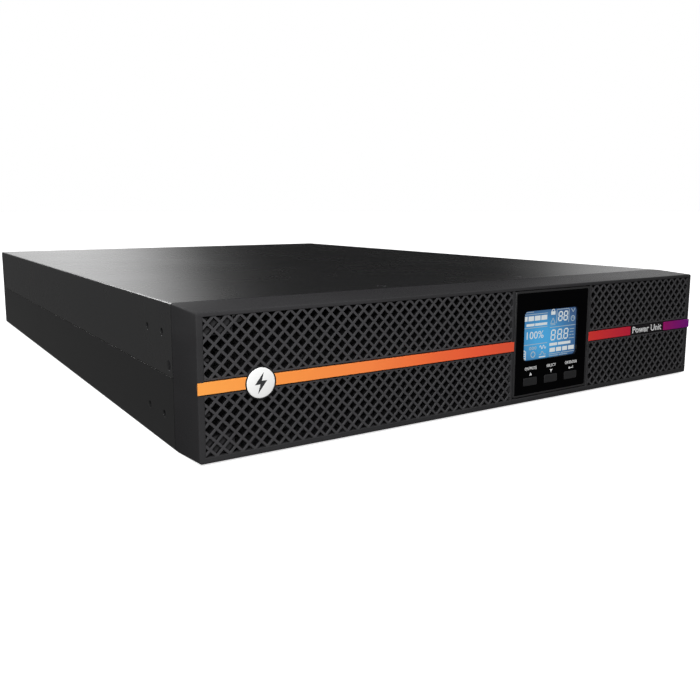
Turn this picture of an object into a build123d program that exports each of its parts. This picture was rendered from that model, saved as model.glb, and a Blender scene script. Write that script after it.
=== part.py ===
from build123d import *
import os

"""Two-unit rack or tower uninterruptible power supply, built as it comes apart on a bench.

Millimetres. X runs across the front, +Y towards the sockets at the back, +Z up. The origin is
the middle of the base, half way along the depth. Every sub-part is one STEP file in parts/.
"""

# ---------------------------------------------------------------- driving dimensions
WIDTH = 438.0
HEIGHT = 86.0
DEPTH = 630.0
SHEET = 1.2  # steel of the case
PROUD = 1.0  # how far the round badge stands out of the bezel
TAPER_DEPTH = 30.5  # tapered part of the bezel
COLLAR = 3.5  # straight part of the bezel, against the case
SIDE_TAPER = 1.2
TOP_TAPER = 1.7
BOTTOM_TAPER = 1.6
GAP = 0.2  # between pieces that only lie beside each other

# ---------------------------------------------------------------- places that follow from them
HALF = WIDTH / 2
BACK = DEPTH / 2
FACE = -BACK + PROUD
KINK = FACE + TAPER_DEPTH
BEZEL_BACK = KINK + COLLAR
CASE_FRONT = BEZEL_BACK + 0.6
PLATE_FRONT = CASE_FRONT + GAP
PLATE_BACK = PLATE_FRONT + SHEET
PANEL_OUT = BACK - 4.0  # outer face of the rear panel, inside the case's rims
PANEL_IN = PANEL_OUT - SHEET
INSIDE = HALF - SHEET
ROOF = HEIGHT - SHEET
FACE_TOP = HEIGHT - TOP_TAPER
FACE_HALF = HALF - SIDE_TAPER

# side walls: lower half is the base, upper half the cover, with a seam between
SEAM = 43.0
SEAM_GAP = 0.3
TONGUE_TOP = 55.0
TONGUE_OUT = INSIDE - GAP
TONGUE_IN = TONGUE_OUT - SHEET

# holes for rack ears, two by two on each side, with nuts pressed in behind them
EAR_HOLE = 2.1
EAR_Y = (KINK + 20.5, KINK + 46.5)
EAR_Z = (18.6, 67.6)
EAR_NUT = 3.6
EAR_NUT_DEEP = 3.0

# countersunk screws that hold the cover
SINK = 3.0
SCREW = 1.5
SCREW_HEAD = 2.9
SCREW_HEAD_DEEP = 1.25
SIDE_SCREW_Y = (KINK + 10.0, BACK - 14.0)
SIDE_SCREW_Z = 49.5
TOP_SCREW_X = (-65.0, 65.0)
TOP_SCREW_Y = KINK + 17.0

# bezel openings, as (left, right, bottom, top)
WALL = 2.5
EDGE = 0.6  # small bevel round the face
GRILLE_LEFT = (-214.0, 12.7, 5.0, 81.8)
GRILLE_RIGHT = (94.0, 214.0, 5.0, 81.8)
POCKET = (14.6, 92.0, 5.2, 82.2)
POCKET_WALL = 1.4
POCKET_DEEP = 20.0
BAR = 1.55  # width of a lattice bar
CELL = 7.7  # a lattice diamond, corner to corner
GRILLE_THICK = 2.4
GRILLE_SET_BACK = 0.4
GRILLE_REAR = FACE + GRILLE_SET_BACK + GRILLE_THICK
STRIPE_LOW, STRIPE_HIGH = 40.0, 46.7
CHANNEL = 1.2  # recess left above and below the stripe
CHANNEL_DEEP = 1.2
STRIPE_PROUD = 0.6
STRIPE_OVERHANG = 0.3
NAMEPLATE = (141.2, 184.4)
BADGE_X, BADGE_Z = -181.0, 42.6
BADGE_RADIUS = 8.7
BADGE_RING = 9.5
BADGE_FRONT = FACE - PROUD
BADGE_SEAT = FACE + 0.2
BOSS = (18.0, 9.5)  # stud bosses behind the corners of the lattice
STUD_X = 205.0
STUD_Z = (10.5, 76.0)

# display module
MODULE = (15.3, 91.3, 6.0, 81.4)
MODULE_DEEP = 21.0
MODULE_WALL = 1.4
LENS = (16.8, 89.8, 7.5, 79.9)
LENS_THICK = 1.6
WINDOW_X, WINDOW_Z = 52.2, 49.3
WINDOW = (55.0, 35.2)
BUTTON_X = (32.3, 53.3, 74.3)
BUTTON_Z = 16.2
BUTTON = (13.6, 6.0)
BUTTON_TRAVEL = 0.6

# battery drawer
BAY_LEFT, BAY_RIGHT = -196.0, 11.0
BAY_BACK = 205.0
TRAY_SCREWS = ((-180.0, 76.0), (-5.0, 76.0))
DRAWER_LEFT, DRAWER_RIGHT = -194.0, 9.0
DRAWER_LOW = 3.0
DRAWER_SHEET = 1.0
DRAWER_WALL_TOP = 42.0
CELL_LONG, CELL_DEEP, CELL_HIGH = 151.0, 94.0, 65.0
CELL_GAP = 12.0
CELL_PITCH = CELL_LONG + 1.5
FIRST_CELL_Y = PLATE_BACK + 4.0 + CELL_LONG / 2
DRAWER_BACK = FIRST_CELL_Y + 2 * CELL_PITCH + CELL_LONG / 2 + 3.0
CELL_FLOOR = DRAWER_LOW + DRAWER_SHEET
CELL_MID_X = (DRAWER_LEFT + DRAWER_RIGHT) / 2

# fans and rear fittings
FAN_X = (88.0, 172.0)
FAN_Z = 43.0
FAN_SIZE = 80.0
FAN_DEEP = 25.0
FAN_BORE = 38.0
FAN_PITCH = 71.5
HOLE_ENDS = (-FAN_PITCH / 2, FAN_PITCH / 2)
EARTH_SCREW = (-133.0, 41.0)
OUTLET_X = (-112.0, -78.0, -44.0)
OUTLET_Z = (24.0, 60.0)
LARGE_OUTLET = (-6.0, 60.0)
INLET = (-176.0, 24.0)
BREAKER = (-146.0, 24.0)
BATTERY_PORT = (-6.0, 24.0)
SLOT_COVER = (-203.0, -137.0, 47.0, 75.0)
USB = (-205.0, 36.0)
SERIAL = (31.0, 62.0)
TERMINAL = (30.0, 24.0)

# main board
BOARD = (16.0, 212.0, -235.0, 215.0)
BOARD_LOW = 10.0
BOARD_THICK = 1.6
BOARD_TOP = BOARD_LOW + BOARD_THICK
BOARD_POSTS = [(x, y) for x in (22.0, 206.0) for y in (-228.0, -84.0, 60.0, 208.0)]

os.makedirs("parts", exist_ok=True)


# ---------------------------------------------------------------- helpers
def front_plane(y):
    """Sketch plane that faces the front at depth y: local X is X and local Y is Z."""
    return Plane.XZ.offset(-y)


def block(x, y, z, mode=Mode.ADD):
    """A box between two values along each axis, in either order."""
    lows = [min(pair) for pair in (x, y, z)]
    sizes = [abs(pair[1] - pair[0]) for pair in (x, y, z)]
    with Locations(tuple(lows)):
        Box(*sizes, align=(Align.MIN, Align.MIN, Align.MIN), mode=mode)


def frame_rectangle(bounds, grow=0.0, mode=Mode.ADD):
    """A sketch rectangle from (left, right, bottom, top), grown outwards all round."""
    left, right, bottom, top = bounds
    with Locations(((left + right) / 2, (bottom + top) / 2)):
        Rectangle(right - left + 2 * grow, top - bottom + 2 * grow, mode=mode)


def front_rod(x, z, radius, y_front, y_back, mode=Mode.ADD):
    """A round rod along Y."""
    with Locations(Location((x, (y_front + y_back) / 2, z), (90, 0, 0))):
        Cylinder(radius, y_back - y_front, mode=mode)


def save(part, name):
    """Names a finished piece and writes its STEP file."""
    part.label = name
    export_step(part, f"parts/{name}.step")


def side_planes(heights, depths):
    """Planes on both side walls, facing out, at every height and depth."""
    return [
        Plane(origin=(side * HALF, y, z), z_dir=(side, 0, 0))
        for side in (-1, 1)
        for y in depths
        for z in heights
    ]


# ---------------------------------------------------------------- case
with BuildPart() as base_chassis:
    block((-HALF, HALF), (CASE_FRONT, BACK), (0, SEAM - SEAM_GAP / 2))
    fillet(base_chassis.edges().filter_by(Axis.Y).group_by(Axis.Z)[0], 1.5)
    block((-INSIDE, INSIDE), (CASE_FRONT, BACK), (SHEET, HEIGHT), Mode.SUBTRACT)
    for side in (-1, 1):
        tongue_run = (CASE_FRONT + 5.0, BACK - 8.0)
        block((side * INSIDE, side * TONGUE_IN), tongue_run, (SEAM - 6.0, SEAM - 4.0))
        block((side * TONGUE_OUT, side * TONGUE_IN), tongue_run, (SEAM - 6.0, TONGUE_TOP))
    with Locations(side_planes(EAR_Z[:1], EAR_Y)):
        Hole(EAR_HOLE, depth=SHEET)
    with Locations(side_planes([SIDE_SCREW_Z], SIDE_SCREW_Y)):
        Hole(SCREW + 0.1, depth=4)
    with Locations([(x, y, SHEET) for x, y in BOARD_POSTS]):
        Cylinder(3.5, BOARD_LOW - SHEET, align=(Align.CENTER, Align.CENTER, Align.MIN))
save(base_chassis.part, "base_chassis")

with BuildPart() as top_cover:
    block((-HALF, HALF), (CASE_FRONT, BACK), (SEAM + SEAM_GAP / 2, HEIGHT))
    fillet(top_cover.edges().filter_by(Axis.Y).group_by(Axis.Z)[-1], 1.7)
    block((-INSIDE, INSIDE), (CASE_FRONT, BACK), (0, ROOF), Mode.SUBTRACT)
    with Locations(side_planes(EAR_Z[1:], EAR_Y)):
        Hole(EAR_HOLE, depth=SHEET)
    with Locations(side_planes([SIDE_SCREW_Z], SIDE_SCREW_Y)):
        CounterSinkHole(SCREW + 0.3, SINK, depth=SHEET)
    with Locations([(x, TOP_SCREW_Y, HEIGHT) for x in TOP_SCREW_X]):
        CounterSinkHole(SCREW + 0.3, SINK, depth=SHEET)
save(top_cover.part, "top_cover")


def countersunk_screw(length):
    """A screw with its head at the origin, pointing down, and a cross recess in the head."""
    with BuildPart() as screw:
        with Locations((0, 0, -SCREW_HEAD_DEEP / 2)):
            Cone(SCREW, SCREW_HEAD - 0.1, SCREW_HEAD_DEEP)
        with Locations((0, 0, -SCREW_HEAD_DEEP - length / 2)):
            Cylinder(SCREW, length)
        with Locations((0, 0, -0.35)):
            Box(2.8, 0.6, 0.7, mode=Mode.SUBTRACT)
            Box(0.6, 2.8, 0.7, mode=Mode.SUBTRACT)
    return screw.part


side_screw = countersunk_screw(3.5)
cover_screw_places = [Plane(origin=(x, TOP_SCREW_Y, HEIGHT)) for x in TOP_SCREW_X]
cover_screw_places += side_planes([SIDE_SCREW_Z], SIDE_SCREW_Y)
with BuildPart() as cover_screws:
    with Locations(cover_screw_places):
        add(side_screw)
save(cover_screws.part, "cover_screws")

with BuildPart() as ear_nuts:
    with Locations(side_planes(EAR_Z, EAR_Y)):
        with Locations((0, 0, -SHEET - EAR_NUT_DEEP / 2)):
            Cylinder(EAR_NUT, EAR_NUT_DEEP)
            Cylinder(EAR_HOLE, EAR_NUT_DEEP, mode=Mode.SUBTRACT)
save(ear_nuts.part, "ear_nuts")

BAY_DOOR = (DRAWER_LEFT - 0.8, DRAWER_RIGHT + 0.8, DRAWER_LOW - 0.4, 72.0)
CABLE_SLOT = (40.0, 64.0, 30.0, 56.0)
with BuildPart() as front_plate:
    edge = INSIDE - 0.4
    block((-edge, edge), (PLATE_FRONT, PLATE_BACK), (SHEET, ROOF))
    block((-edge, edge), (PLATE_FRONT, PLATE_FRONT + 22), (ROOF - SHEET, ROOF))
    block((BAY_RIGHT + 8, edge), (PLATE_FRONT, PLATE_FRONT + 14), (SHEET, 2 * SHEET))
    with BuildSketch(front_plane(PLATE_BACK)):
        frame_rectangle(BAY_DOOR)
        frame_rectangle(CABLE_SLOT)
    extrude(amount=SHEET, mode=Mode.SUBTRACT)
    with BuildSketch(front_plane(PLATE_BACK)) as intake:
        with Locations((152, 43)):
            with HexLocations(3.9, 13, 8, major_radius=False):
                RegularPolygon(3.6, 6)
    extrude(amount=SHEET, mode=Mode.SUBTRACT)
    with Locations([(x, TOP_SCREW_Y, ROOF) for x in TOP_SCREW_X]):
        Hole(SCREW + 0.05, depth=2)
    for side in (-1, 1):
        for z in STUD_Z:
            front_rod(side * STUD_X, z, 3.4, PLATE_FRONT, PLATE_BACK, Mode.SUBTRACT)
    for x, z in TRAY_SCREWS:
        front_rod(x, z, 1.55, PLATE_FRONT, PLATE_BACK, Mode.SUBTRACT)
save(front_plate.part, "front_plate")

with BuildPart() as battery_bay:
    liner = 1.2
    block((BAY_LEFT, BAY_LEFT + liner), (PLATE_BACK, BAY_BACK), (SHEET, 60))
    liner_z = (SHEET, ROOF - 1.5)
    block((BAY_RIGHT, BAY_RIGHT + liner), (PLATE_BACK, BAY_BACK), liner_z)
    block((BAY_LEFT, BAY_RIGHT + liner), (BAY_BACK, BAY_BACK + liner), liner_z)
    block((BAY_LEFT - 12, BAY_LEFT), (PLATE_BACK, BAY_BACK + liner), (SHEET, 2 * SHEET))
    with BuildSketch(front_plane(BAY_BACK + liner)):
        frame_rectangle((CELL_MID_X - 11, CELL_MID_X + 11, 18, 54))
        with Locations((CELL_MID_X, 70)):
            with GridLocations(14, 0, 12, 1):
                SlotOverall(16, 5, rotation=90)
    extrude(amount=liner, mode=Mode.SUBTRACT)
save(battery_bay.part, "battery_bay")

# ---------------------------------------------------------------- front bezel
OUTER_BACK = (-HALF, HALF, 0, HEIGHT)
OUTER_FACE = (-FACE_HALF, FACE_HALF, BOTTOM_TAPER, FACE_TOP)


def rounded_frame(bounds, radius, grow=0.0):
    """A sketch rectangle with rounded corners from (left, right, bottom, top)."""
    left, right, bottom, top = bounds
    with Locations(((left + right) / 2, (bottom + top) / 2)):
        RectangleRounded(right - left + 2 * grow, top - bottom + 2 * grow, radius)


with BuildPart() as front_bezel:
    for y_front, front, y_rear, rear in (
        (FACE, (OUTER_FACE, -EDGE), FACE + EDGE, (OUTER_FACE, 0.0)),
        (FACE + EDGE, (OUTER_FACE, 0.0), KINK, (OUTER_BACK, 0.0)),
    ):
        with BuildSketch(front_plane(y_rear)):
            rounded_frame(rear[0], 1.6, rear[1])
        with BuildSketch(front_plane(y_front)):
            rounded_frame(front[0], 1.6, front[1])
        loft()
    with BuildSketch(front_plane(BEZEL_BACK)):
        rounded_frame(OUTER_BACK, 1.6)
    extrude(amount=COLLAR)
    with BuildSketch(front_plane(KINK)):
        frame_rectangle(OUTER_BACK, -WALL)
    with BuildSketch(front_plane(FACE + WALL)):
        frame_rectangle(OUTER_FACE, -WALL)
    loft(mode=Mode.SUBTRACT)
    with BuildSketch(front_plane(BEZEL_BACK)):
        frame_rectangle(OUTER_BACK, -WALL)
    extrude(amount=COLLAR, mode=Mode.SUBTRACT)
    with BuildSketch(front_plane(FACE + POCKET_DEEP)):
        frame_rectangle(POCKET, POCKET_WALL)
    extrude(amount=POCKET_DEEP - WALL)
    for side in (-1, 1):
        for z in STUD_Z:
            x_pair = (side * (FACE_HALF - 1.5), side * (STUD_X - BOSS[0] / 2))
            z_pair = (z - BOSS[1] / 2, z + BOSS[1] / 2)
            block(x_pair, (GRILLE_REAR, BEZEL_BACK - 3), z_pair)
    with BuildSketch(front_plane(FACE + POCKET_DEEP)):
        frame_rectangle(POCKET)
    extrude(amount=POCKET_DEEP, mode=Mode.SUBTRACT)
    with BuildSketch(front_plane(GRILLE_REAR)):
        frame_rectangle(GRILLE_LEFT)
        frame_rectangle(GRILLE_RIGHT)
    extrude(amount=GRILLE_REAR - FACE, mode=Mode.SUBTRACT)
    for side in (-1, 1):
        for z in STUD_Z:
            front_rod(side * STUD_X, z, 1.6, BEZEL_BACK - 13, BEZEL_BACK, Mode.SUBTRACT)
save(front_bezel.part, "front_bezel")


def lattice(bounds):
    """A diamond lattice that fills an opening of the bezel, with a solid channel for the stripe."""
    left, right, bottom, top = bounds
    middle = ((left + right) / 2, (bottom + top) / 2)
    reach = right - left + top - bottom
    pitch = CELL / 2**0.5
    count = int(reach / 2**0.5 / pitch) + 2
    back = FACE + GRILLE_SET_BACK + GRILLE_THICK
    groove = (STRIPE_LOW - CHANNEL, STRIPE_HIGH + CHANNEL)
    with BuildPart() as grille:
        with BuildSketch(front_plane(back)):
            with Locations(middle):
                for turn in (45, -45):
                    with Locations(Location((0, 0, 0), (0, 0, turn))):
                        with GridLocations(pitch, 0, count, 1):
                            Rectangle(BAR, reach)
            frame_rectangle(bounds, -0.05, mode=Mode.INTERSECT)
            frame_rectangle((left, right, *groove), mode=Mode.SUBTRACT)
        extrude(amount=GRILLE_THICK)
        block((left + 0.05, right - 0.05), (back, FACE + CHANNEL_DEEP), groove)
    return grille


grille_left = lattice(GRILLE_LEFT)
save(grille_left.part, "grille_left")
grille_right = lattice(GRILLE_RIGHT)
save(grille_right.part, "grille_right")

STRIPE_FRONT = FACE - STRIPE_PROUD
STRIPE_END = FACE_HALF + STRIPE_OVERHANG


def stripe(x_inner, x_end, x_start):
    """One length of the coloured stripe: in its channel, or over the bezel's face past it."""
    side = 1 if x_end > x_inner else -1
    x_edge = side * min(abs(x_end), GRILLE_RIGHT[1])
    heights = (STRIPE_LOW, STRIPE_HIGH)
    with BuildPart() as bar:
        block((x_inner, x_edge), (STRIPE_FRONT, FACE + CHANNEL_DEEP), heights)
        if x_edge != x_end:
            block((x_edge, x_end), (STRIPE_FRONT, FACE), heights)
        if x_start != x_inner:
            block((x_start, x_inner), (STRIPE_FRONT, FACE), heights)
    return bar


with BuildPart() as stripe_left:
    add(stripe(GRILLE_LEFT[1], -STRIPE_END, POCKET[0] - 0.3).part)
    front_rod(BADGE_X, BADGE_Z, BADGE_RING + 0.1, STRIPE_FRONT, BADGE_SEAT, Mode.SUBTRACT)
save(stripe_left.part, "stripe_left")
stripe_middle = stripe(GRILLE_RIGHT[0], NAMEPLATE[0], POCKET[1] + 0.3)
save(stripe_middle.part, "stripe_middle")
stripe_right = stripe(NAMEPLATE[1], STRIPE_END, NAMEPLATE[1])
save(stripe_right.part, "stripe_right")

with BuildPart() as nameplate:
    plate_x = (NAMEPLATE[0] + 0.1, NAMEPLATE[1] - 0.1)
    block(plate_x, (FACE + 0.2, FACE + CHANNEL_DEEP), (STRIPE_LOW, STRIPE_HIGH))
save(nameplate.part, "nameplate")

with BuildPart() as badge_ring:
    front_rod(BADGE_X, BADGE_Z, BADGE_RING, BADGE_FRONT + 0.2, BADGE_SEAT)
    front_rod(BADGE_X, BADGE_Z, BADGE_RADIUS + 0.05, BADGE_FRONT + 0.2, FACE, Mode.SUBTRACT)
save(badge_ring.part, "badge_ring")

with BuildPart() as badge_disc:
    front_rod(BADGE_X, BADGE_Z, BADGE_RADIUS, BADGE_FRONT, FACE)
    fillet(badge_disc.edges().sort_by(Axis.Y)[0], 0.25)
save(badge_disc.part, "badge_disc")

with BuildPart() as ball_studs:
    for side in (-1, 1):
        for z in STUD_Z:
            front_rod(side * STUD_X, z, 1.6, BEZEL_BACK - 13, BEZEL_BACK)
            with Locations((side * STUD_X, BEZEL_BACK + 0.8, z)):
                Sphere(2.2)
save(ball_studs.part, "ball_studs")

with BuildPart() as ball_catches:
    for side in (-1, 1):
        for z in STUD_Z:
            front_rod(side * STUD_X, z, 4.4, BEZEL_BACK - 1.0, PLATE_FRONT)
            front_rod(side * STUD_X, z, 3.4, PLATE_FRONT, PLATE_BACK + 2.5)
            front_rod(side * STUD_X, z, 2.5, BEZEL_BACK - 1.0, PLATE_BACK + 1.5, Mode.SUBTRACT)
save(ball_catches.part, "ball_catches")

# ---------------------------------------------------------------- display module
MODULE_FRONT = FACE + 0.2
MODULE_BACK = MODULE_FRONT + MODULE_DEEP
LENS_BACK = MODULE_FRONT + LENS_THICK
LCD_FRONT = LENS_BACK + 0.2
BOARD_FRONT = MODULE_FRONT + 12.0
BOARD_BACK = BOARD_FRONT + 1.6
LCD = (WINDOW_X - 33, WINDOW_X + 33, WINDOW_Z - 21, WINDOW_Z + 23)
DISPLAY_BOARD = (18.8, 87.8, 9.5, 77.9)
MODULE_POSTS = [(x, z) for x in (22.3, 84.3) for z in (12.5, 75.5)]
RIBBON = (44.0, 60.0, 42.0, 43.0)

with BuildPart() as display_housing:
    with BuildSketch(front_plane(MODULE_BACK)):
        rounded_frame(MODULE, 1.5)
    extrude(amount=MODULE_DEEP)
    with BuildSketch(front_plane(LENS_BACK)):
        frame_rectangle(LENS, 0.1)
    extrude(amount=LENS_THICK, mode=Mode.SUBTRACT)
    with BuildSketch(front_plane(MODULE_BACK - 1.5)):
        frame_rectangle(LENS, -1.2)
    extrude(amount=MODULE_DEEP - 1.5, mode=Mode.SUBTRACT)
    for x, z in MODULE_POSTS:
        front_rod(x, z, 2.5, BOARD_BACK, MODULE_BACK)
    block((RIBBON[0] - 1, RIBBON[1] + 1), (MODULE_BACK - 2, MODULE_BACK), (41, 44), Mode.SUBTRACT)
save(display_housing.part, "display_housing")

with BuildPart() as display_lens:
    with BuildSketch(front_plane(LENS_BACK)):
        rounded_frame(LENS, 1.0)
        with Locations((WINDOW_X, WINDOW_Z)):
            RectangleRounded(*WINDOW, 3.0, mode=Mode.SUBTRACT)
        for x in BUTTON_X:
            with Locations((x, BUTTON_Z)):
                RectangleRounded(BUTTON[0] + 0.5, BUTTON[1] + 0.5, 1.0, mode=Mode.SUBTRACT)
    extrude(amount=LENS_THICK)
save(display_lens.part, "display_lens")

with BuildPart() as lcd_module:
    with BuildSketch(front_plane(BOARD_FRONT)):
        frame_rectangle(LCD)
    extrude(amount=BOARD_FRONT - LCD_FRONT)
    chamfer(lcd_module.faces().sort_by(Axis.Y)[0].edges(), 0.8)
save(lcd_module.part, "lcd_module")

with BuildPart() as display_board:
    with BuildSketch(front_plane(BOARD_BACK)):
        frame_rectangle(DISPLAY_BOARD)
        with Locations(*MODULE_POSTS):
            Circle(1.4, mode=Mode.SUBTRACT)
    extrude(amount=BOARD_BACK - BOARD_FRONT)
save(display_board.part, "display_board")

SWITCH_FRONT = BOARD_FRONT - 3.5
PLUNGER_FRONT = SWITCH_FRONT - 1.3
with BuildPart() as tact_switches:
    for x in BUTTON_X:
        block((x - 3, x + 3), (SWITCH_FRONT, BOARD_FRONT), (BUTTON_Z - 3, BUTTON_Z + 3))
        front_rod(x, BUTTON_Z, 1.7, PLUNGER_FRONT, SWITCH_FRONT)
save(tact_switches.part, "tact_switches")


def push_button(x):
    """A key that stands in the lens, with a flange behind it and a stem to its switch."""
    front = MODULE_FRONT - 0.1
    flange = LENS_BACK + 0.2
    with BuildPart() as key:
        with BuildSketch(front_plane(flange)):
            with Locations((x, BUTTON_Z)):
                RectangleRounded(*BUTTON, 0.9)
        extrude(amount=flange - front)
        fillet(key.faces().sort_by(Axis.Y)[0].edges(), 0.3)
        half_width = BUTTON[0] / 2 + 1
        half_height = BUTTON[1] / 2 + 1
        x_pair = (x - half_width, x + half_width)
        block(x_pair, (flange, flange + 1), (BUTTON_Z - half_height, BUTTON_Z + half_height))
        front_rod(x, BUTTON_Z, 1.5, flange + 1, PLUNGER_FRONT - BUTTON_TRAVEL - 0.25)
    return key


button_on = push_button(BUTTON_X[0])
save(button_on.part, "button_on")
button_select = push_button(BUTTON_X[1])
save(button_select.part, "button_select")
button_enter = push_button(BUTTON_X[2])
save(button_enter.part, "button_enter")

with BuildPart() as display_ribbon:
    block(RIBBON[:2], (BOARD_BACK, PLATE_BACK + 14), RIBBON[2:])
    plug_x = (RIBBON[0] - 1.5, RIBBON[1] + 1.5)
    block(plug_x, (PLATE_BACK + 14, PLATE_BACK + 22), (RIBBON[2] - 2.5, RIBBON[3] + 2.5))
save(display_ribbon.part, "display_ribbon")

# ---------------------------------------------------------------- battery drawer
CELL_TOP = CELL_FLOOR + CELL_HIGH
CELL_MID_Z = CELL_FLOOR + CELL_HIGH / 2
TAB_Y = 62.0
DRAWER_PLATE = (-199.5, 16.0, DRAWER_LOW, 80.0)
DRAWER_PLATE_BACK = PLATE_FRONT - GAP
DRAWER_PLATE_FRONT = DRAWER_PLATE_BACK - SHEET

with BuildPart() as battery_tray:
    tray_y = (DRAWER_PLATE_BACK, DRAWER_BACK)
    tray_x = (DRAWER_LEFT, DRAWER_RIGHT)
    block(tray_x, tray_y, (DRAWER_LOW, CELL_FLOOR))
    for x, inwards in ((DRAWER_LEFT, 1), (DRAWER_RIGHT, -1)):
        block((x, x + inwards * DRAWER_SHEET), tray_y, (DRAWER_LOW, DRAWER_WALL_TOP))
    back_y = (DRAWER_BACK - DRAWER_SHEET, DRAWER_BACK)
    block(tray_x, back_y, (DRAWER_LOW, DRAWER_WALL_TOP))
    block((CELL_MID_X - 12, CELL_MID_X + 12), back_y, (18, DRAWER_WALL_TOP), Mode.SUBTRACT)
    block(DRAWER_PLATE[:2], (DRAWER_PLATE_FRONT, DRAWER_PLATE_BACK), DRAWER_PLATE[2:])
    for x, z in TRAY_SCREWS:
        front_rod(x, z, 1.8, DRAWER_PLATE_FRONT, DRAWER_PLATE_BACK, Mode.SUBTRACT)
save(battery_tray.part, "battery_tray")

with BuildPart() as tray_handle:
    grip_y = DRAWER_PLATE_FRONT - 20
    for x in (CELL_MID_X - 40, CELL_MID_X + 40):
        front_rod(x, 43, 3.0, grip_y, DRAWER_PLATE_FRONT)
        front_rod(x, 43, 6.0, DRAWER_PLATE_FRONT - 1.5, DRAWER_PLATE_FRONT)
        with Locations((x, grip_y, 43)):
            Sphere(3.0)
    with Locations(Location((CELL_MID_X, grip_y, 43), (0, 90, 0))):
        Cylinder(3.0, 80)
save(tray_handle.part, "tray_handle")

with BuildPart() as tray_screws:
    for x, z in TRAY_SCREWS:
        front_rod(x, z, 4.0, DRAWER_PLATE_FRONT - 3.0, DRAWER_PLATE_FRONT)
        front_rod(x, z, 1.5, DRAWER_PLATE_FRONT, PLATE_BACK + 3)
        block((x - 3, x + 3), (DRAWER_PLATE_FRONT - 3, DRAWER_PLATE_FRONT - 2), (z - 0.5, z + 0.5), Mode.SUBTRACT)
save(tray_screws.part, "tray_screws")


def battery(column, row):
    """A sealed battery on its side, its lid and two tabs towards the middle of the drawer."""
    x_lid = CELL_MID_X + column * CELL_GAP / 2
    x_base = x_lid + column * CELL_DEEP
    x_seam = x_lid + column * 9
    y = FIRST_CELL_Y + row * CELL_PITCH
    reach = CELL_LONG / 2
    with BuildPart() as cell:
        block((x_seam, x_base), (y - reach + 0.6, y + reach - 0.6), (CELL_FLOOR, CELL_TOP - 0.6))
        block((x_lid, x_seam), (y - reach, y + reach), (CELL_FLOOR, CELL_TOP))
        for end in (-1, 1):
            tab_y = y + end * TAB_Y
            tab_z = (CELL_MID_Z - 3.1, CELL_MID_Z + 3.1)
            block((x_lid, x_lid - column * 5), (tab_y - 0.4, tab_y + 0.4), tab_z)
    return cell


for number in range(6):
    save(battery(-1 if number < 3 else 1, number % 3).part, f"battery_{number + 1}")

LINK_RAIL_Z = (CELL_MID_Z + 10, CELL_MID_Z - 10)
with BuildPart() as battery_links:
    for column, rail_z in zip((-1, 1), LINK_RAIL_Z):
        front_rod(CELL_MID_X, rail_z, 1.8, FIRST_CELL_Y - TAB_Y, DRAWER_BACK)
        tab_x = CELL_MID_X + column * CELL_GAP / 2
        rail_side = (CELL_MID_Z, rail_z)
        for row in range(3):
            for end in (-1, 1):
                y = FIRST_CELL_Y + row * CELL_PITCH + end * TAB_Y
                clip_x = (tab_x - column * 1, CELL_MID_X)
                block(clip_x, (y - 1.5, y + 1.5), (CELL_MID_Z - 3.8, CELL_MID_Z + 3.8))
                block((CELL_MID_X, CELL_MID_X + column * 1.5), (y - 1, y + 1), rail_side)
                slot_z = (CELL_MID_Z - 3.2, CELL_MID_Z + 3.2)
                slot_x = (tab_x - column * 1, tab_x - column * 5.1)
                block(slot_x, (y - 0.5, y + 0.5), slot_z, Mode.SUBTRACT)
save(battery_links.part, "battery_links")

with BuildPart() as battery_strap:
    for row in range(3):
        y = FIRST_CELL_Y + row * CELL_PITCH
        strap_y = (y - 12, y + 12)
        block((DRAWER_LEFT, DRAWER_RIGHT), strap_y, (CELL_TOP + 0.2, CELL_TOP + 1))
        for x, inwards in ((DRAWER_LEFT, 1), (DRAWER_RIGHT, -1)):
            leg = (DRAWER_WALL_TOP, CELL_TOP + 1)
            block((x, x + inwards * 0.8), strap_y, leg)
save(battery_strap.part, "battery_strap")

PLUG_Z = (20.0, 52.0)
with BuildPart() as drawer_plug:
    block((CELL_MID_X - 9, CELL_MID_X + 9), (DRAWER_BACK, DRAWER_BACK + 10), PLUG_Z)
    for z in LINK_RAIL_Z:
        front_rod(CELL_MID_X, z, 4.5, DRAWER_BACK + 10, BAY_BACK + 4)
save(drawer_plug.part, "drawer_plug")

with BuildPart() as drawer_socket:
    socket_y = (BAY_BACK + SHEET, BAY_BACK + 16)
    block((CELL_MID_X - 16, CELL_MID_X + 16), socket_y, (PLUG_Z[0] - 5, PLUG_Z[1] + 5))
    for z in LINK_RAIL_Z:
        front_rod(CELL_MID_X, z, 5.2, BAY_BACK, BAY_BACK + 11, Mode.SUBTRACT)
save(drawer_socket.part, "drawer_socket")

# ---------------------------------------------------------------- electronics
with BuildPart() as main_board:
    block(BOARD[:2], BOARD[2:], (BOARD_LOW, BOARD_TOP))
    with Locations([(x, y, BOARD_TOP) for x, y in BOARD_POSTS]):
        Hole(1.6, depth=BOARD_THICK)
save(main_board.part, "main_board")


def finned_block(x_from, x_to, y_pair, top):
    """An extruded heat sink along Y: a base on the board and upright fins."""
    block((x_from, x_to), y_pair, (BOARD_TOP, BOARD_TOP + 8))
    width = x_to - x_from
    fins = 7
    for fin in range(fins):
        x = x_from + fin * (width - 2) / (fins - 1)
        block((x, x + 2), y_pair, (BOARD_TOP + 8, top))


SINKS = ((44.0, 84.0), (120.0, 160.0))
SINK_Y = (-70.0, 120.0)
with BuildPart() as heatsinks:
    for x_from, x_to in SINKS:
        finned_block(x_from, x_to, SINK_Y, 66)
save(heatsinks.part, "heatsinks")

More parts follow.
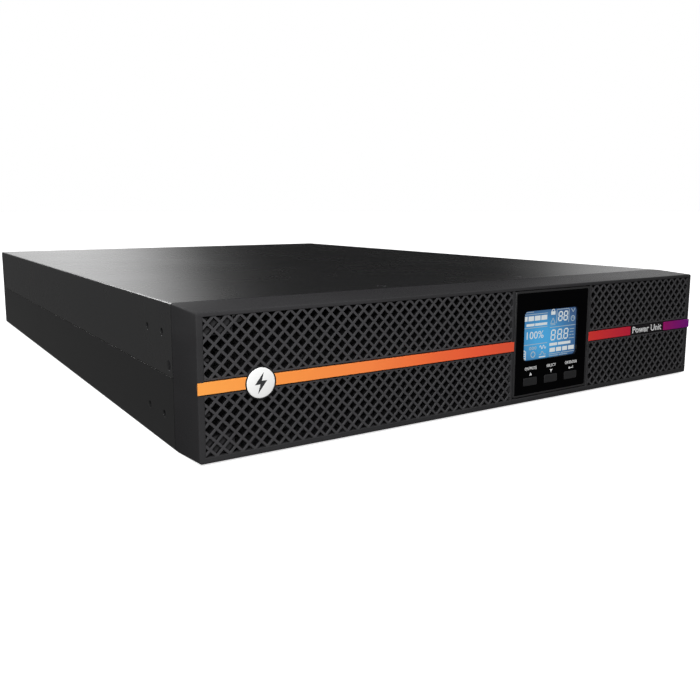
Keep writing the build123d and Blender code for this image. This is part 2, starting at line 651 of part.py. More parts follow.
with BuildPart() as power_transistors:
    for x_from, x_to in SINKS:
        for number in range(8):
            y = SINK_Y[0] + 16 + number * 22.5
            block((x_to + 0.1, x_to + 5.1), (y - 8, y + 8), (BOARD_TOP + 6, BOARD_TOP + 27))
            for leg in (-5.4, 0, 5.4):
                leg_y = (y + leg - 0.6, y + leg + 0.6)
                block((x_to + 2, x_to + 2.8), leg_y, (BOARD_TOP, BOARD_TOP + 6))
save(power_transistors.part, "power_transistors")

with BuildPart() as bus_capacitors:
    with Locations([(x, y, BOARD_TOP) for x in (104, 190) for y in (-150, -114)]):
        Cylinder(15, 46, align=(Align.CENTER, Align.CENTER, Align.MIN))
    with Locations([(190, y, BOARD_TOP) for y in (-60, -24, 12, 48)]):
        Cylinder(15, 46, align=(Align.CENTER, Align.CENTER, Align.MIN))
save(bus_capacitors.part, "bus_capacitors")

with BuildPart() as chokes:
    for x, y in ((56, -190), (56, -128), (146, -178)):
        with Locations((x, y, BOARD_TOP + 10)):
            Torus(20, 9.5)
        with Locations((x, y, BOARD_TOP + 1)):
            Cylinder(21, 2)
save(chokes.part, "chokes")

with BuildPart() as transformer:
    for x in (64.0, 160.0):
        block((x - 22, x + 22), (150, 200), (BOARD_TOP + 4, BOARD_TOP + 46))
        block((x - 26, x + 26), (162, 188), (BOARD_TOP, BOARD_TOP + 50))
save(transformer.part, "transformer")

# ---------------------------------------------------------------- rear
FAN_CORNERS = [(x + dx, FAN_Z + dz) for x in FAN_X for dx in HOLE_ENDS for dz in HOLE_ENDS]
OUTLETS = [(x, z) for x in OUTLET_X for z in OUTLET_Z]
SLOT_SCREWS = [(x, (SLOT_COVER[2] + SLOT_COVER[3]) / 2) for x in (-198.5, -141.5)]
FLANGE_FRONT = PANEL_OUT + 1.6

with BuildPart() as rear_panel:
    edge = INSIDE - 0.4
    block((-edge, edge), (PANEL_IN, PANEL_OUT), (SHEET, ROOF))
    block((-edge, edge), (PANEL_IN - 12, PANEL_IN), (SHEET, 2 * SHEET))
    block((-edge, edge), (PANEL_IN - 12, PANEL_IN), (ROOF - SHEET, ROOF))
    with BuildSketch(front_plane(PANEL_OUT)):
        with Locations(*[(x, FAN_Z) for x in FAN_X]):
            Circle(FAN_BORE)
        with Locations(*FAN_CORNERS):
            Circle(2.0)
        with Locations(*OUTLETS):
            Rectangle(26.4, 21.4)
        with Locations(LARGE_OUTLET, INLET):
            Rectangle(34.4, 27.4)
        with Locations(BREAKER):
            Circle(8.1)
        with Locations(BATTERY_PORT):
            Rectangle(30.4, 20.4)
        with Locations(USB):
            Rectangle(10.4, 11.4)
        with Locations(SERIAL):
            Rectangle(22.4, 11.4)
        with Locations(TERMINAL):
            Rectangle(20.4, 10.4)
        frame_rectangle(SLOT_COVER, -9)
        with Locations(*SLOT_SCREWS, EARTH_SCREW):
            Circle(1.7)
    extrude(amount=SHEET, mode=Mode.SUBTRACT)
save(rear_panel.part, "rear_panel")


def fan_frame(x):
    """The square frame of a fan, with the motor's seat on four struts on the inner side."""
    front = PANEL_IN - FAN_DEEP
    with BuildPart() as frame:
        with BuildSketch(front_plane(PANEL_IN)):
            with Locations((x, FAN_Z)):
                RectangleRounded(FAN_SIZE, FAN_SIZE, 4)
                Circle(FAN_BORE, mode=Mode.SUBTRACT)
                with GridLocations(FAN_PITCH, FAN_PITCH, 2, 2):
                    Circle(1.9, mode=Mode.SUBTRACT)
        extrude(amount=FAN_DEEP)
        with BuildSketch(front_plane(front + 3)):
            with Locations((x, FAN_Z)):
                Circle(17.5)
                for turn in (45, 135):
                    with Locations(Location((0, 0, 0), (0, 0, turn))):
                        Rectangle(2 * FAN_BORE + 1, 4)
        extrude(amount=3)
    return frame


def fan_rotor(x):
    """A hub and seven tilted blades that turn in a fan frame."""
    front = PANEL_IN - FAN_DEEP + 3.6
    middle = front + 10
    with BuildPart() as rotor:
        front_rod(x, FAN_Z, 16.5, front, front + 20)
        fillet(rotor.edges().sort_by(Axis.Y)[-1], 2)
        with Locations(Location((x, middle, FAN_Z), (90, 0, 0))):
            with PolarLocations(25.8, 7):
                with Locations(Location((0, 0, 0), (38, 0, 0))):
                    Box(21, 22, 1.4)
    return rotor


fan_frame_1 = fan_frame(FAN_X[0])
save(fan_frame_1.part, "fan_frame_1")
fan_frame_2 = fan_frame(FAN_X[1])
save(fan_frame_2.part, "fan_frame_2")
fan_rotor_1 = fan_rotor(FAN_X[0])
save(fan_rotor_1.part, "fan_rotor_1")
fan_rotor_2 = fan_rotor(FAN_X[1])
save(fan_rotor_2.part, "fan_rotor_2")

WIRE = 0.8
GUARD_RINGS = (38.5, 32.0, 25.0, 18.0, 11.0)
with BuildPart() as fan_guards:
    with BuildSketch(front_plane(PANEL_OUT + 2.0)):
        with Locations(*[(x, FAN_Z) for x in FAN_X]):
            for radius in GUARD_RINGS:
                Circle(radius + WIRE)
                Circle(radius - WIRE, mode=Mode.SUBTRACT)
            for turn in (45, 135):
                with Locations(Location((0, 0, 0), (0, 0, turn))):
                    Rectangle(2 * 50, 2 * WIRE)
            Circle(GUARD_RINGS[-1] - WIRE, mode=Mode.SUBTRACT)
            with GridLocations(FAN_PITCH, FAN_PITCH, 2, 2):
                Circle(3.8)
                Circle(1.9, mode=Mode.SUBTRACT)
    extrude(amount=1.6)
save(fan_guards.part, "fan_guards")


def pan_screw(x, z, seat, deep):
    """A cross-headed screw along Y, its head against a seat and its shank going in."""
    front_rod(x, z, 3.0, seat, seat + 1.6)
    front_rod(x, z, 1.5, seat - deep, seat)
    for wide, high in ((1.8, 0.35), (0.35, 1.8)):
        notch_y = (seat + 0.9, seat + 1.6)
        block((x - wide, x + wide), notch_y, (z - high, z + high), Mode.SUBTRACT)


with BuildPart() as panel_screws:
    for x, z in FAN_CORNERS:
        pan_screw(x, z, PANEL_OUT + 2.0, 12)
    for x, z in SLOT_SCREWS:
        pan_screw(x, z, PANEL_OUT + 1.2, 6)
    pan_screw(*EARTH_SCREW, PANEL_OUT, 8)
save(panel_screws.part, "panel_screws")

with BuildPart() as slot_cover:
    block(SLOT_COVER[:2], (PANEL_OUT, PANEL_OUT + 1.2), SLOT_COVER[2:])
    for x, z in SLOT_SCREWS:
        front_rod(x, z, 1.7, PANEL_OUT, PANEL_OUT + 1.2, Mode.SUBTRACT)
    middle_x = (SLOT_COVER[0] + SLOT_COVER[1]) / 2
    middle_z = (SLOT_COVER[2] + SLOT_COVER[3]) / 2
    handle_z = (middle_z - 6, middle_z + 6)
    for x in (middle_x - 12, middle_x + 12):
        block((x - 0.6, x + 0.6), (PANEL_OUT + 1.2, BACK - 0.2), handle_z)
save(slot_cover.part, "slot_cover")


def fitting_shell(place, cut_out, flange, deep):
    """A moulded fitting that fills a cut-out of the panel and has a flange outside it."""
    x, z = place
    wide, high = cut_out
    panel_y = (PANEL_OUT - deep, PANEL_OUT)
    block((x - wide / 2, x + wide / 2), panel_y, (z - high / 2, z + high / 2))
    wide, high = flange
    flange_y = (PANEL_OUT, FLANGE_FRONT)
    block((x - wide / 2, x + wide / 2), flange_y, (z - high / 2, z + high / 2))


def keyed_cavity(place, size, corner, deep, mode):
    """A deep cavity or core with two of its corners cut off."""
    x, z = place
    wide, high = size
    half_wide, half_high = wide / 2, high / 2
    with BuildSketch(front_plane(FLANGE_FRONT)) as outline:
        with Locations((x, z)):
            Polygon(
                (-half_wide, -half_high),
                (half_wide, -half_high),
                (half_wide, half_high - corner),
                (half_wide - corner, half_high),
                (-half_wide + corner, half_high),
                (-half_wide, half_high - corner),
                align=None,
            )
    extrude(outline.sketch, amount=deep, mode=mode)


def outlet(place, scale):
    """A female mains outlet: a moat round a core with three slots."""
    x, z = place
    wide, high = 24.6 * scale, 17.4 * scale
    keyed_cavity(place, (wide, high), 5.0 * scale, 16, Mode.SUBTRACT)
    keyed_cavity(place, (wide - 5.4, high - 5.4), 3.6 * scale, 16, Mode.ADD)


def outlet_slots(place, pitch, slot, drop):
    """The three contact slots of an outlet."""
    x, z = place
    for dx, dz in ((-pitch, -drop), (pitch, -drop), (0, drop)):
        x_pair = (x + dx - slot[0] / 2, x + dx + slot[0] / 2)
        z_pair = (z + dz - slot[1] / 2, z + dz + slot[1] / 2)
        block(x_pair, (FLANGE_FRONT - 14, FLANGE_FRONT), z_pair, Mode.SUBTRACT)


with BuildPart() as small_outlets:
    for place in OUTLETS:
        fitting_shell(place, (26, 21), (30, 25), 22)
        outlet(place, 1.0)
        outlet_slots(place, 7.0, (2.2, 4.4), 1.8)
save(small_outlets.part, "small_outlets")

with BuildPart() as large_outlet:
    fitting_shell(LARGE_OUTLET, (34, 27), (38, 31), 24)
    keyed_cavity(LARGE_OUTLET, (32.4, 24.4), 0.0, 16, Mode.SUBTRACT)
    keyed_cavity(LARGE_OUTLET, (26.6, 18.6), 0.0, 16, Mode.ADD)
    outlet_slots(LARGE_OUTLET, 8.0, (7.4, 2.4), 4.0)
save(large_outlet.part, "large_outlet")

with BuildPart() as power_inlet:
    fitting_shell(INLET, (34, 27), (38, 31), 24)
    keyed_cavity(INLET, (31.6, 23.6), 0.0, 19, Mode.SUBTRACT)
    for dx, dz in ((-8.0, -4.0), (8.0, -4.0), (0, 4.0)):
        x_pair = (INLET[0] + dx - 3.7, INLET[0] + dx + 3.7)
        z_pair = (INLET[1] + dz - 1, INLET[1] + dz + 1)
        block(x_pair, (PANEL_OUT - 20, PANEL_OUT - 2), z_pair)
save(power_inlet.part, "power_inlet")

BREAKER_FRONT = PANEL_OUT + 1.5
with BuildPart() as breaker_body:
    front_rod(*BREAKER, 8.0, PANEL_OUT - 20, PANEL_OUT)
    front_rod(*BREAKER, 9.6, PANEL_OUT, BREAKER_FRONT)
    front_rod(*BREAKER, 4.3, PANEL_OUT - 12, BREAKER_FRONT, Mode.SUBTRACT)
save(breaker_body.part, "breaker_body")

with BuildPart() as breaker_button:
    front_rod(*BREAKER, 4.0, PANEL_OUT - 8, BACK - 0.2)
    fillet(breaker_button.edges().sort_by(Axis.Y)[-1], 0.6)
save(breaker_button.part, "breaker_button")

with BuildPart() as battery_port:
    fitting_shell(BATTERY_PORT, (30, 20), (34, 24), 24)
    for dx in (-7.2, 7.2):
        x = BATTERY_PORT[0] + dx
        z_pair = (BATTERY_PORT[1] - 7, BATTERY_PORT[1] + 7)
        block((x - 6, x + 6), (PANEL_OUT - 18, FLANGE_FRONT), z_pair, Mode.SUBTRACT)
        contact_z = (BATTERY_PORT[1] + 4.5, BATTERY_PORT[1] + 7)
        block((x - 3, x + 3), (PANEL_OUT - 20, PANEL_OUT - 4), contact_z)
save(battery_port.part, "battery_port")

with BuildPart() as signal_ports:
    fitting_shell(USB, (10, 11), (12.4, 13.4), 14)
    x, z = USB
    block((x - 4.2, x + 4.2), (PANEL_OUT - 8, FLANGE_FRONT), (z - 4.6, z + 4.6), Mode.SUBTRACT)
    block((x - 2.6, x + 2.6), (PANEL_OUT - 8, PANEL_OUT), (z - 1.6, z + 1.6))
    fitting_shell(SERIAL, (22, 11), (31, 12.6), 12)
    x, z = SERIAL
    block((x - 8.6, x + 8.6), (PANEL_OUT - 5, FLANGE_FRONT), (z - 4.1, z + 4.1), Mode.SUBTRACT)
    block((x - 7.8, x + 7.8), (PANEL_OUT - 5, PANEL_OUT + 1), (z - 3.3, z + 3.3))
    fitting_shell(TERMINAL, (20, 10), (22, 12), 14)
    x, z = TERMINAL
    for dx in (-7.2, -2.4, 2.4, 7.2):
        x_pair = (x + dx - 1.9, x + dx + 1.9)
        block(x_pair, (PANEL_OUT - 8, FLANGE_FRONT), (z - 3.6, z + 1.6), Mode.SUBTRACT)
save(signal_ports.part, "signal_ports")
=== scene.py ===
import math
import random

import bmesh
import bpy
from bpy.props import FloatProperty, FloatVectorProperty, PointerProperty
from mathutils import Matrix, Vector
from mathutils.geometry import tessellate_polygon


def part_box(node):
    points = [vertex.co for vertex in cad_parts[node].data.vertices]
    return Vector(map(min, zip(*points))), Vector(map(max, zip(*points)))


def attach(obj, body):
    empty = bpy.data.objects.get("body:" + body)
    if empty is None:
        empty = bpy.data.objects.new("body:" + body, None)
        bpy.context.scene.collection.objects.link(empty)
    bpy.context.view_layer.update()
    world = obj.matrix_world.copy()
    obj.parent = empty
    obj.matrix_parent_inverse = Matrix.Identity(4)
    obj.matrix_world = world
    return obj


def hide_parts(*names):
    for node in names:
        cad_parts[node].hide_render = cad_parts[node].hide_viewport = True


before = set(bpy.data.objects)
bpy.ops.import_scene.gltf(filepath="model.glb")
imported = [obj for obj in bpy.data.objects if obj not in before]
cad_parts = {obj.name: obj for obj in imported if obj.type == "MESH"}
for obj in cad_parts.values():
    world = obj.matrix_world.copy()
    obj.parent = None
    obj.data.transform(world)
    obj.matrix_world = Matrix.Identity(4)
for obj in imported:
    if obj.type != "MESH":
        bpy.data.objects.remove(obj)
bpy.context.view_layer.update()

bl_info = {
    "name": "Rack Power Unit", "version": (1, 0, 0), "blender": (4, 5, 0),
    "location": "3D View > Sidebar > Power Unit",
    "description": "Builds the looks of a two-unit battery backup round its solid model", "category": "Object",
}

MM = 0.001
ROUND = 48  # sides of a round piece of middling size


# ------------------------------------------------------------------ places read from the solids
def span(node):
    """Left, right, front, back, bottom and top of a solid, in millimetres."""
    low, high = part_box(node)
    return [value / MM for pair in zip(low, high) for value in pair]


BEZEL = span("front_bezel")
COVER = span("top_cover")
BASE = span("base_chassis")
NUTS = span("ear_nuts")
LENS = span("display_lens")
MODULE = span("display_housing")
DISC = span("badge_disc")
RING = span("badge_ring")
FACE = BEZEL[2]
CASE_FRONT = COVER[2]
CASE_BACK = COVER[3]
HALF = COVER[1]
TOP = COVER[5]
SEAM_LOW, SEAM_HIGH = COVER[4] - 0.3, COVER[4]
EAR_Y = (NUTS[2] + 3.6, NUTS[3] - 3.6)
EAR_Z = (NUTS[4] + 3.6, NUTS[5] - 3.6)
PANEL_OUT = span("rear_panel")[3]
FAN_Z = 43.0
FANS = [(sum(span(f"fan_frame_{n}")[:2]) / 2, FAN_Z) for n in (1, 2)]
BEZEL_KINK = 3.5  # depth of the straight collar at the back of the bezel
SIDE_SCREWS = [(side * HALF, y, 49.5) for side in (-1, 1) for y in (BEZEL[3] + 6.5, CASE_BACK - 14.0)]
TOP_SCREWS = [(x, BEZEL[3] + 13.5, TOP) for x in (-65.0, 65.0)]


# ------------------------------------------------------------------ settings
class CaseSettings(bpy.types.PropertyGroup):
    """Folded steel case."""

    sheet: FloatProperty(name="Sheet", description="Thickness of the steel, in millimetres", default=1.2)
    bend: FloatProperty(name="Bend", description="Outer radius of a fold, in millimetres", default=1.7)
    paint: FloatVectorProperty(
        name="Paint", description="Colour of the powder coat", subtype="COLOR", default=(0.019, 0.019, 0.0195),
    )


class BezelSettings(bpy.types.PropertyGroup):
    """Moulded front with its lattices and stripe."""

    cell: FloatProperty(name="Cell", description="Width of a lattice diamond, in millimetres", default=7.7)
    bar: FloatProperty(name="Bar", description="Width of a lattice bar, in millimetres", default=1.55)
    plastic: FloatVectorProperty(
        name="Plastic", description="Colour of the moulding", subtype="COLOR", default=(0.033, 0.0325, 0.034),
    )
    # The lattice colour is the moulding's plastic made about half again lighter: painted light on the bars'
    # faces.
    lattice: FloatVectorProperty(
        name="Lattice", description="Colour of the lattice bars", subtype="COLOR",
        default=(0.050, 0.049, 0.052),
    )
    stripe_warm: FloatVectorProperty(
        name="Stripe, left", description="Colour of the stripe at its left end", subtype="COLOR",
        default=(0.93, 0.36, 0.072),
    )
    stripe_middle: FloatVectorProperty(
        name="Stripe, middle", description="Colour of the stripe beside the display", subtype="COLOR",
        default=(0.84, 0.10, 0.044),
    )
    stripe_cool: FloatVectorProperty(
        name="Stripe, right", description="Colour of the stripe at its right end", subtype="COLOR",
        default=(0.20, 0.002, 0.24),
    )


class DisplaySettings(bpy.types.PropertyGroup):
    """Square module with its screen and three keys."""

    backlight: FloatVectorProperty(
        name="Backlight", description="Colour of the lit screen", subtype="COLOR", default=(0.066, 0.33, 0.62),
    )
    brightness: FloatProperty(name="Brightness", description="Strength of the screen's light", default=1.0)
    key: FloatVectorProperty(
        name="Keys", description="Colour of the keys", subtype="COLOR", default=(0.014, 0.014, 0.015),
    )


class StageSettings(bpy.types.PropertyGroup):
    """Camera, floor and light."""

    lens: FloatProperty(name="Lens", description="Focal length, in millimetres", default=38.315)
    camera_place: FloatVectorProperty(
        name="Camera place", description="Where the camera stands", subtype="TRANSLATION", unit="LENGTH",
        default=(-0.36071, -0.67872, 0.13792),
    )
    heading: FloatProperty(
        name="Heading", description="Turn of the camera from straight ahead", subtype="ANGLE",
        default=0.5681330,
    )
    dip: FloatProperty(
        name="Dip", description="How far the camera looks down", subtype="ANGLE", default=0.1456438,
    )
    floor: FloatVectorProperty(
        name="Floor", description="Colour of the floor", subtype="COLOR", default=(0.95, 0.95, 0.95),
    )
    softbox: FloatProperty(name="Softbox", description="Power of the front softbox, in watts", default=5.5)
    overhead: FloatProperty(name="Overhead", description="Strength of the wide light from above", default=0.85)


SETTINGS = {
    "power_case": CaseSettings, "power_bezel": BezelSettings, "power_display": DisplaySettings,
    "power_stage": StageSettings,
}


def settings(name):
    return getattr(bpy.context.scene, name)


# ------------------------------------------------------------------ meshes, in millimetres
def slab(bm, x, y, z):
    """A box between two values along each axis, in any order."""
    corners = [bm.verts.new((x[i], y[j], z[k])) for i in (0, 1) for j in (0, 1) for k in (0, 1)]
    for face in ((0, 1, 3, 2), (4, 6, 7, 5), (0, 4, 5, 1), (2, 3, 7, 6), (0, 2, 6, 4), (1, 5, 7, 3)):
        bm.faces.new([corners[i] for i in face])


def rounded(x0, x1, z0, z1, radius, steps=4):
    """The corners of a rounded rectangle, as (x, z) points."""
    points = []
    for cx, cz, start in (
        (x1 - radius, z1 - radius, 0), (x0 + radius, z1 - radius, 90), (x0 + radius, z0 + radius, 180),
        (x1 - radius, z0 + radius, 270),
    ):
        for step in range(steps + 1):
            turn = math.radians(start + 90 * step / steps)
            points.append((cx + radius * math.cos(turn), cz + radius * math.sin(turn)))
    return points


def circle(x, z, radius, sides=ROUND, start=0.0):
    """The corners of a regular polygon, as (x, z) points."""
    turns = [start + math.tau * side / sides for side in range(sides)]
    return [(x + radius * math.cos(t), z + radius * math.sin(t)) for t in turns]


def loop(bm, outline, y):
    return [bm.verts.new((x, y, z)) for x, z in outline]


def skin(bm, first, second):
    """Joins two loops with the same number of corners."""
    count = len(first)
    for i in range(count):
        j = (i + 1) % count
        bm.faces.new((first[i], first[j], second[j], second[i]))


def cap(bm, outer, holes=()):
    """A flat face over a loop, round any holes."""
    loops = [outer, *holes]
    corners = [vertex for ring in loops for vertex in ring]
    for triangle in tessellate_polygon([[v.co for v in ring] for ring in loops]):
        bm.faces.new([corners[i] for i in triangle])


def plate(bm, outline, y0, y1, holes=()):
    """A flat plate across Y with straight holes."""
    front = [loop(bm, ring, y0) for ring in (outline, *holes)]
    back = [loop(bm, ring, y1) for ring in (outline, *holes)]
    cap(bm, front[0], front[1:])
    cap(bm, back[0], back[1:])
    for one, other in zip(front, back):
        skin(bm, one, other)


def turned(bm, centre, axis, profile, sides=ROUND):
    """A solid of revolution: profile is (distance along the axis, radius) from end to end."""
    turn = Vector((0, 0, 1)).rotation_difference(Vector(axis)).to_matrix()
    place = Vector(centre)
    rings = []
    for along, radius in profile:
        if radius < 1e-6:
            rings.append([bm.verts.new(turn @ Vector((0, 0, along)) + place)])
            continue
        rings.append(
            [bm.verts.new(turn @ Vector((x, z, along)) + place) for x, z in circle(0, 0, radius, sides)]
        )
    for one, other in zip(rings, rings[1:]):
        if len(one) == 1 and len(other) == 1:
            continue
        if len(one) == 1 or len(other) == 1:
            tip, ring = (one[0], other) if len(one) == 1 else (other[0], one)
            for i in range(sides):
                bm.faces.new((tip, ring[i], ring[(i + 1) % sides]))
            continue
        skin(bm, one, other)
    for ring in (rings[0], rings[-1]):
        if len(ring) > 1:
            bm.faces.new(ring)


def outward(bm):
    bmesh.ops.recalc_face_normals(bm, faces=bm.faces)


def to_mesh(bm, name):
    """A mesh in metres from a bmesh in millimetres, with its faces outward."""
    outward(bm)
    bmesh.ops.scale(bm, vec=(MM, MM, MM), verts=bm.verts)
    mesh = bpy.data.meshes.new(name)
    bm.to_mesh(mesh)
    bm.free()
    return mesh


def drawn(draw, *values):
    """One shape drawn by itself, as a mesh."""
    bm = bmesh.new()
    draw(bm, *values)
    return to_mesh(bm, draw.__name__)


def plain_mesh(thing):
    """The thing's mesh with its modifiers carried out."""
    bpy.context.view_layer.update()
    depsgraph = bpy.context.evaluated_depsgraph_get()
    return bpy.data.meshes.new_from_object(thing.evaluated_get(depsgraph), depsgraph=depsgraph)


def with_modifier(mesh, kind, configure):
    """The mesh that a modifier makes of another one."""
    thing = bpy.data.objects.new("workpiece", mesh)
    bpy.context.scene.collection.objects.link(thing)
    configure(thing.modifiers.new(kind.title(), kind))
    made = plain_mesh(thing)
    bpy.data.objects.remove(thing)
    return made


def drilled(mesh, cutters):
    """A mesh with the volume of another one cut away."""
    tool = bpy.data.objects.new("cutter", cutters)
    bpy.context.scene.collection.objects.link(tool)

    def configure(modifier):
        modifier.object = tool
        modifier.operation = "DIFFERENCE"
        modifier.solver = "EXACT"

    made = with_modifier(mesh, "BOOLEAN", configure)
    bpy.data.objects.remove(tool)
    if not made.polygons:
        raise RuntimeError(f"{mesh.name}: nothing is left after cutting")
    return made


def piece(name, mesh, look, body, replaces=(), bevel=0.0, smooth=40):
    """Puts a finished mesh into the scene as one piece of the object."""
    mesh.name = name
    mesh.materials.clear()
    for material in look if isinstance(look, (list, tuple)) else (look,):
        mesh.materials.append(material)
    mesh.polygons.foreach_set("use_smooth", [True] * len(mesh.polygons))
    mesh.set_sharp_from_angle(angle=math.radians(smooth))
    thing = bpy.data.objects.new(name, mesh)
    bpy.context.scene.collection.objects.link(thing)
    if bevel:
        modifier = thing.modifiers.new("Edges", "BEVEL")
        modifier.width = bevel * MM
        modifier.segments = 2
        modifier.limit_method = "ANGLE"
        modifier.angle_limit = math.radians(smooth)
        modifier.harden_normals = True
    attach(thing, body)
    if replaces:
        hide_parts(*replaces)
    return thing


def lettering(text, size, x, z, y, wide, depth=0.05, weight=0.0):
    """A line of raised letters of a set width, centred at (x, z), facing the front."""
    curve = bpy.data.curves.new("letters", "FONT")
    curve.body = text
    curve.size = size
    curve.align_x = "CENTER"
    curve.align_y = "CENTER"
    curve.extrude = depth / 2
    curve.offset = weight
    curve.resolution_u = 3
    thing = bpy.data.objects.new("letters", curve)
    bpy.context.scene.collection.objects.link(thing)
    mesh = plain_mesh(thing)
    bpy.data.objects.remove(thing)
    across = [vertex.co.x for vertex in mesh.vertices]
    left, right = min(across), max(across)
    centred = Matrix.Translation((-(left + right) / 2, 0, 0))
    place = Matrix.Translation((x, y, z)) @ Matrix.Rotation(math.pi / 2, 4, "X")
    mesh.transform(Matrix.Scale(MM, 4) @ place @ Matrix.Diagonal((wide / (right - left), 1, 1, 1)) @ centred)
    return mesh


def joined(name, meshes):
    """One mesh out of several."""
    bm = bmesh.new()
    for mesh in meshes:
        bm.from_mesh(mesh)
    made = bpy.data.meshes.new(name)
    bm.to_mesh(made)
    bm.free()
    return made


# ------------------------------------------------------------------ geometry nodes
def node_tree(name, inputs):
    """An empty geometry tree with named inputs, and where each one is fed in."""
    tree = bpy.data.node_groups.new(name, "GeometryNodeTree")
    tree.interface.new_socket(name="Geometry", in_out="INPUT", socket_type="NodeSocketGeometry")
    tree.interface.new_socket(name="Geometry", in_out="OUTPUT", socket_type="NodeSocketGeometry")
    for label, kind in inputs:
        tree.interface.new_socket(name=label, in_out="INPUT", socket_type="NodeSocket" + kind)
    source = tree.nodes.new("NodeGroupInput")
    sink = tree.nodes.new("NodeGroupOutput")
    return tree, source, sink


def add_node(tree, kind, **settings_of_node):
    node = tree.nodes.new(kind)
    for key, value in settings_of_node.items():
        setattr(node, key, value)
    return node


def finish_tree(tree, source, sink, geometry):
    """Ends a tree in Realize Instances and Set Material."""
    link = tree.links.new
    realize = add_node(tree, "GeometryNodeRealizeInstances")
    paint = add_node(tree, "GeometryNodeSetMaterial")
    link(geometry, realize.inputs[0])
    link(realize.outputs[0], paint.inputs["Geometry"])
    link(source.outputs["Material"], paint.inputs["Material"])
    link(paint.outputs[0], sink.inputs[0])


def grown(tree, start, values):
    """The plain mesh that a geometry tree makes from a start mesh."""
    keys = {item.name: item.identifier for item in tree.interface.items_tree if item.in_out == "INPUT"}
    thing = bpy.data.objects.new("seed", start)
    bpy.context.scene.collection.objects.link(thing)
    modifier = thing.modifiers.new("Build", "NODES")
    modifier.node_group = tree
    for label, value in values.items():
        modifier[keys[label]] = value
    made = plain_mesh(thing)
    bpy.data.objects.remove(thing)
    return made


def copies_tree():
    """Puts a copy of a part on every point, turned by the point's own angles."""
    tree, source, sink = node_tree("Copies On Points", [("Part", "Object"), ("Material", "Material")])
    link = tree.links.new
    part = add_node(tree, "GeometryNodeObjectInfo")
    turn = add_node(tree, "GeometryNodeInputNamedAttribute", data_type="FLOAT_VECTOR")
    turn.inputs["Name"].default_value = "turn"
    put = add_node(tree, "GeometryNodeInstanceOnPoints")
    link(source.outputs["Part"], part.inputs["Object"])
    link(source.outputs["Geometry"], put.inputs["Points"])
    link(part.outputs["Geometry"], put.inputs["Instance"])
    link(turn.outputs["Attribute"], put.inputs["Rotation"])
    finish_tree(tree, source, sink, put.outputs["Instances"])
    return tree


def copies(part_mesh, places, material):
    """Copies of a part at places given as (x, y, z) or (x, y, z, turn about X, Y, Z)."""
    tree = bpy.data.node_groups.get("Copies On Points") or copies_tree()
    part = bpy.data.objects.new("part", part_mesh)
    bpy.context.scene.collection.objects.link(part)
    points = bpy.data.meshes.new("points")
    points.from_pydata([[v * MM for v in place[:3]] for place in places], [], [])
    turns = points.attributes.new("turn", "FLOAT_VECTOR", "POINT")
    turns.data.foreach_set("vector", [a for p in places for a in (p[3:] or (0.0, 0.0, 0.0))])
    made = grown(tree, points, {"Part": part, "Material": material})
    bpy.data.objects.remove(part)
    return made


def lattice_tree():
    """A staggered field of diamond rings that share their edges."""
    inputs = [
        ("Ring", "Object"), ("Columns", "Int"), ("Rows", "Int"), ("Cell", "Float"), ("Material", "Material"),
    ]
    tree, source, sink = node_tree("Diamond Lattice", inputs)
    link = tree.links.new
    ring = add_node(tree, "GeometryNodeObjectInfo")
    link(source.outputs["Ring"], ring.inputs["Object"])
    gather = add_node(tree, "GeometryNodeJoinGeometry")
    half = add_node(tree, "ShaderNodeMath", operation="MULTIPLY")
    half.inputs[1].default_value = 0.5
    link(source.outputs["Cell"], half.inputs[0])
    for shifted in (False, True):
        sizes = []
        for label in ("Columns", "Rows"):
            less = add_node(tree, "ShaderNodeMath", operation="SUBTRACT")
            less.inputs[1].default_value = 1.0
            size = add_node(tree, "ShaderNodeMath", operation="MULTIPLY")
            link(source.outputs[label], less.inputs[0])
            link(less.outputs[0], size.inputs[0])
            link(source.outputs["Cell"], size.inputs[1])
            sizes.append(size)
        grid = add_node(tree, "GeometryNodeMeshGrid")
        link(sizes[0].outputs[0], grid.inputs["Size X"])
        link(sizes[1].outputs[0], grid.inputs["Size Y"])
        link(source.outputs["Columns"], grid.inputs["Vertices X"])
        link(source.outputs["Rows"], grid.inputs["Vertices Y"])
        put = add_node(tree, "GeometryNodeInstanceOnPoints")
        link(grid.outputs["Mesh"], put.inputs["Points"])
        link(ring.outputs["Geometry"], put.inputs["Instance"])
        field = put.outputs["Instances"]
        if shifted:
            shift = add_node(tree, "ShaderNodeCombineXYZ")
            link(half.outputs[0], shift.inputs["X"])
            link(half.outputs[0], shift.inputs["Y"])
            move = add_node(tree, "GeometryNodeTransform")
            link(field, move.inputs["Geometry"])
            link(shift.outputs[0], move.inputs["Translation"])
            field = move.outputs["Geometry"]
        link(field, gather.inputs[0])
    finish_tree(tree, source, sink, gather.outputs[0])
    return tree


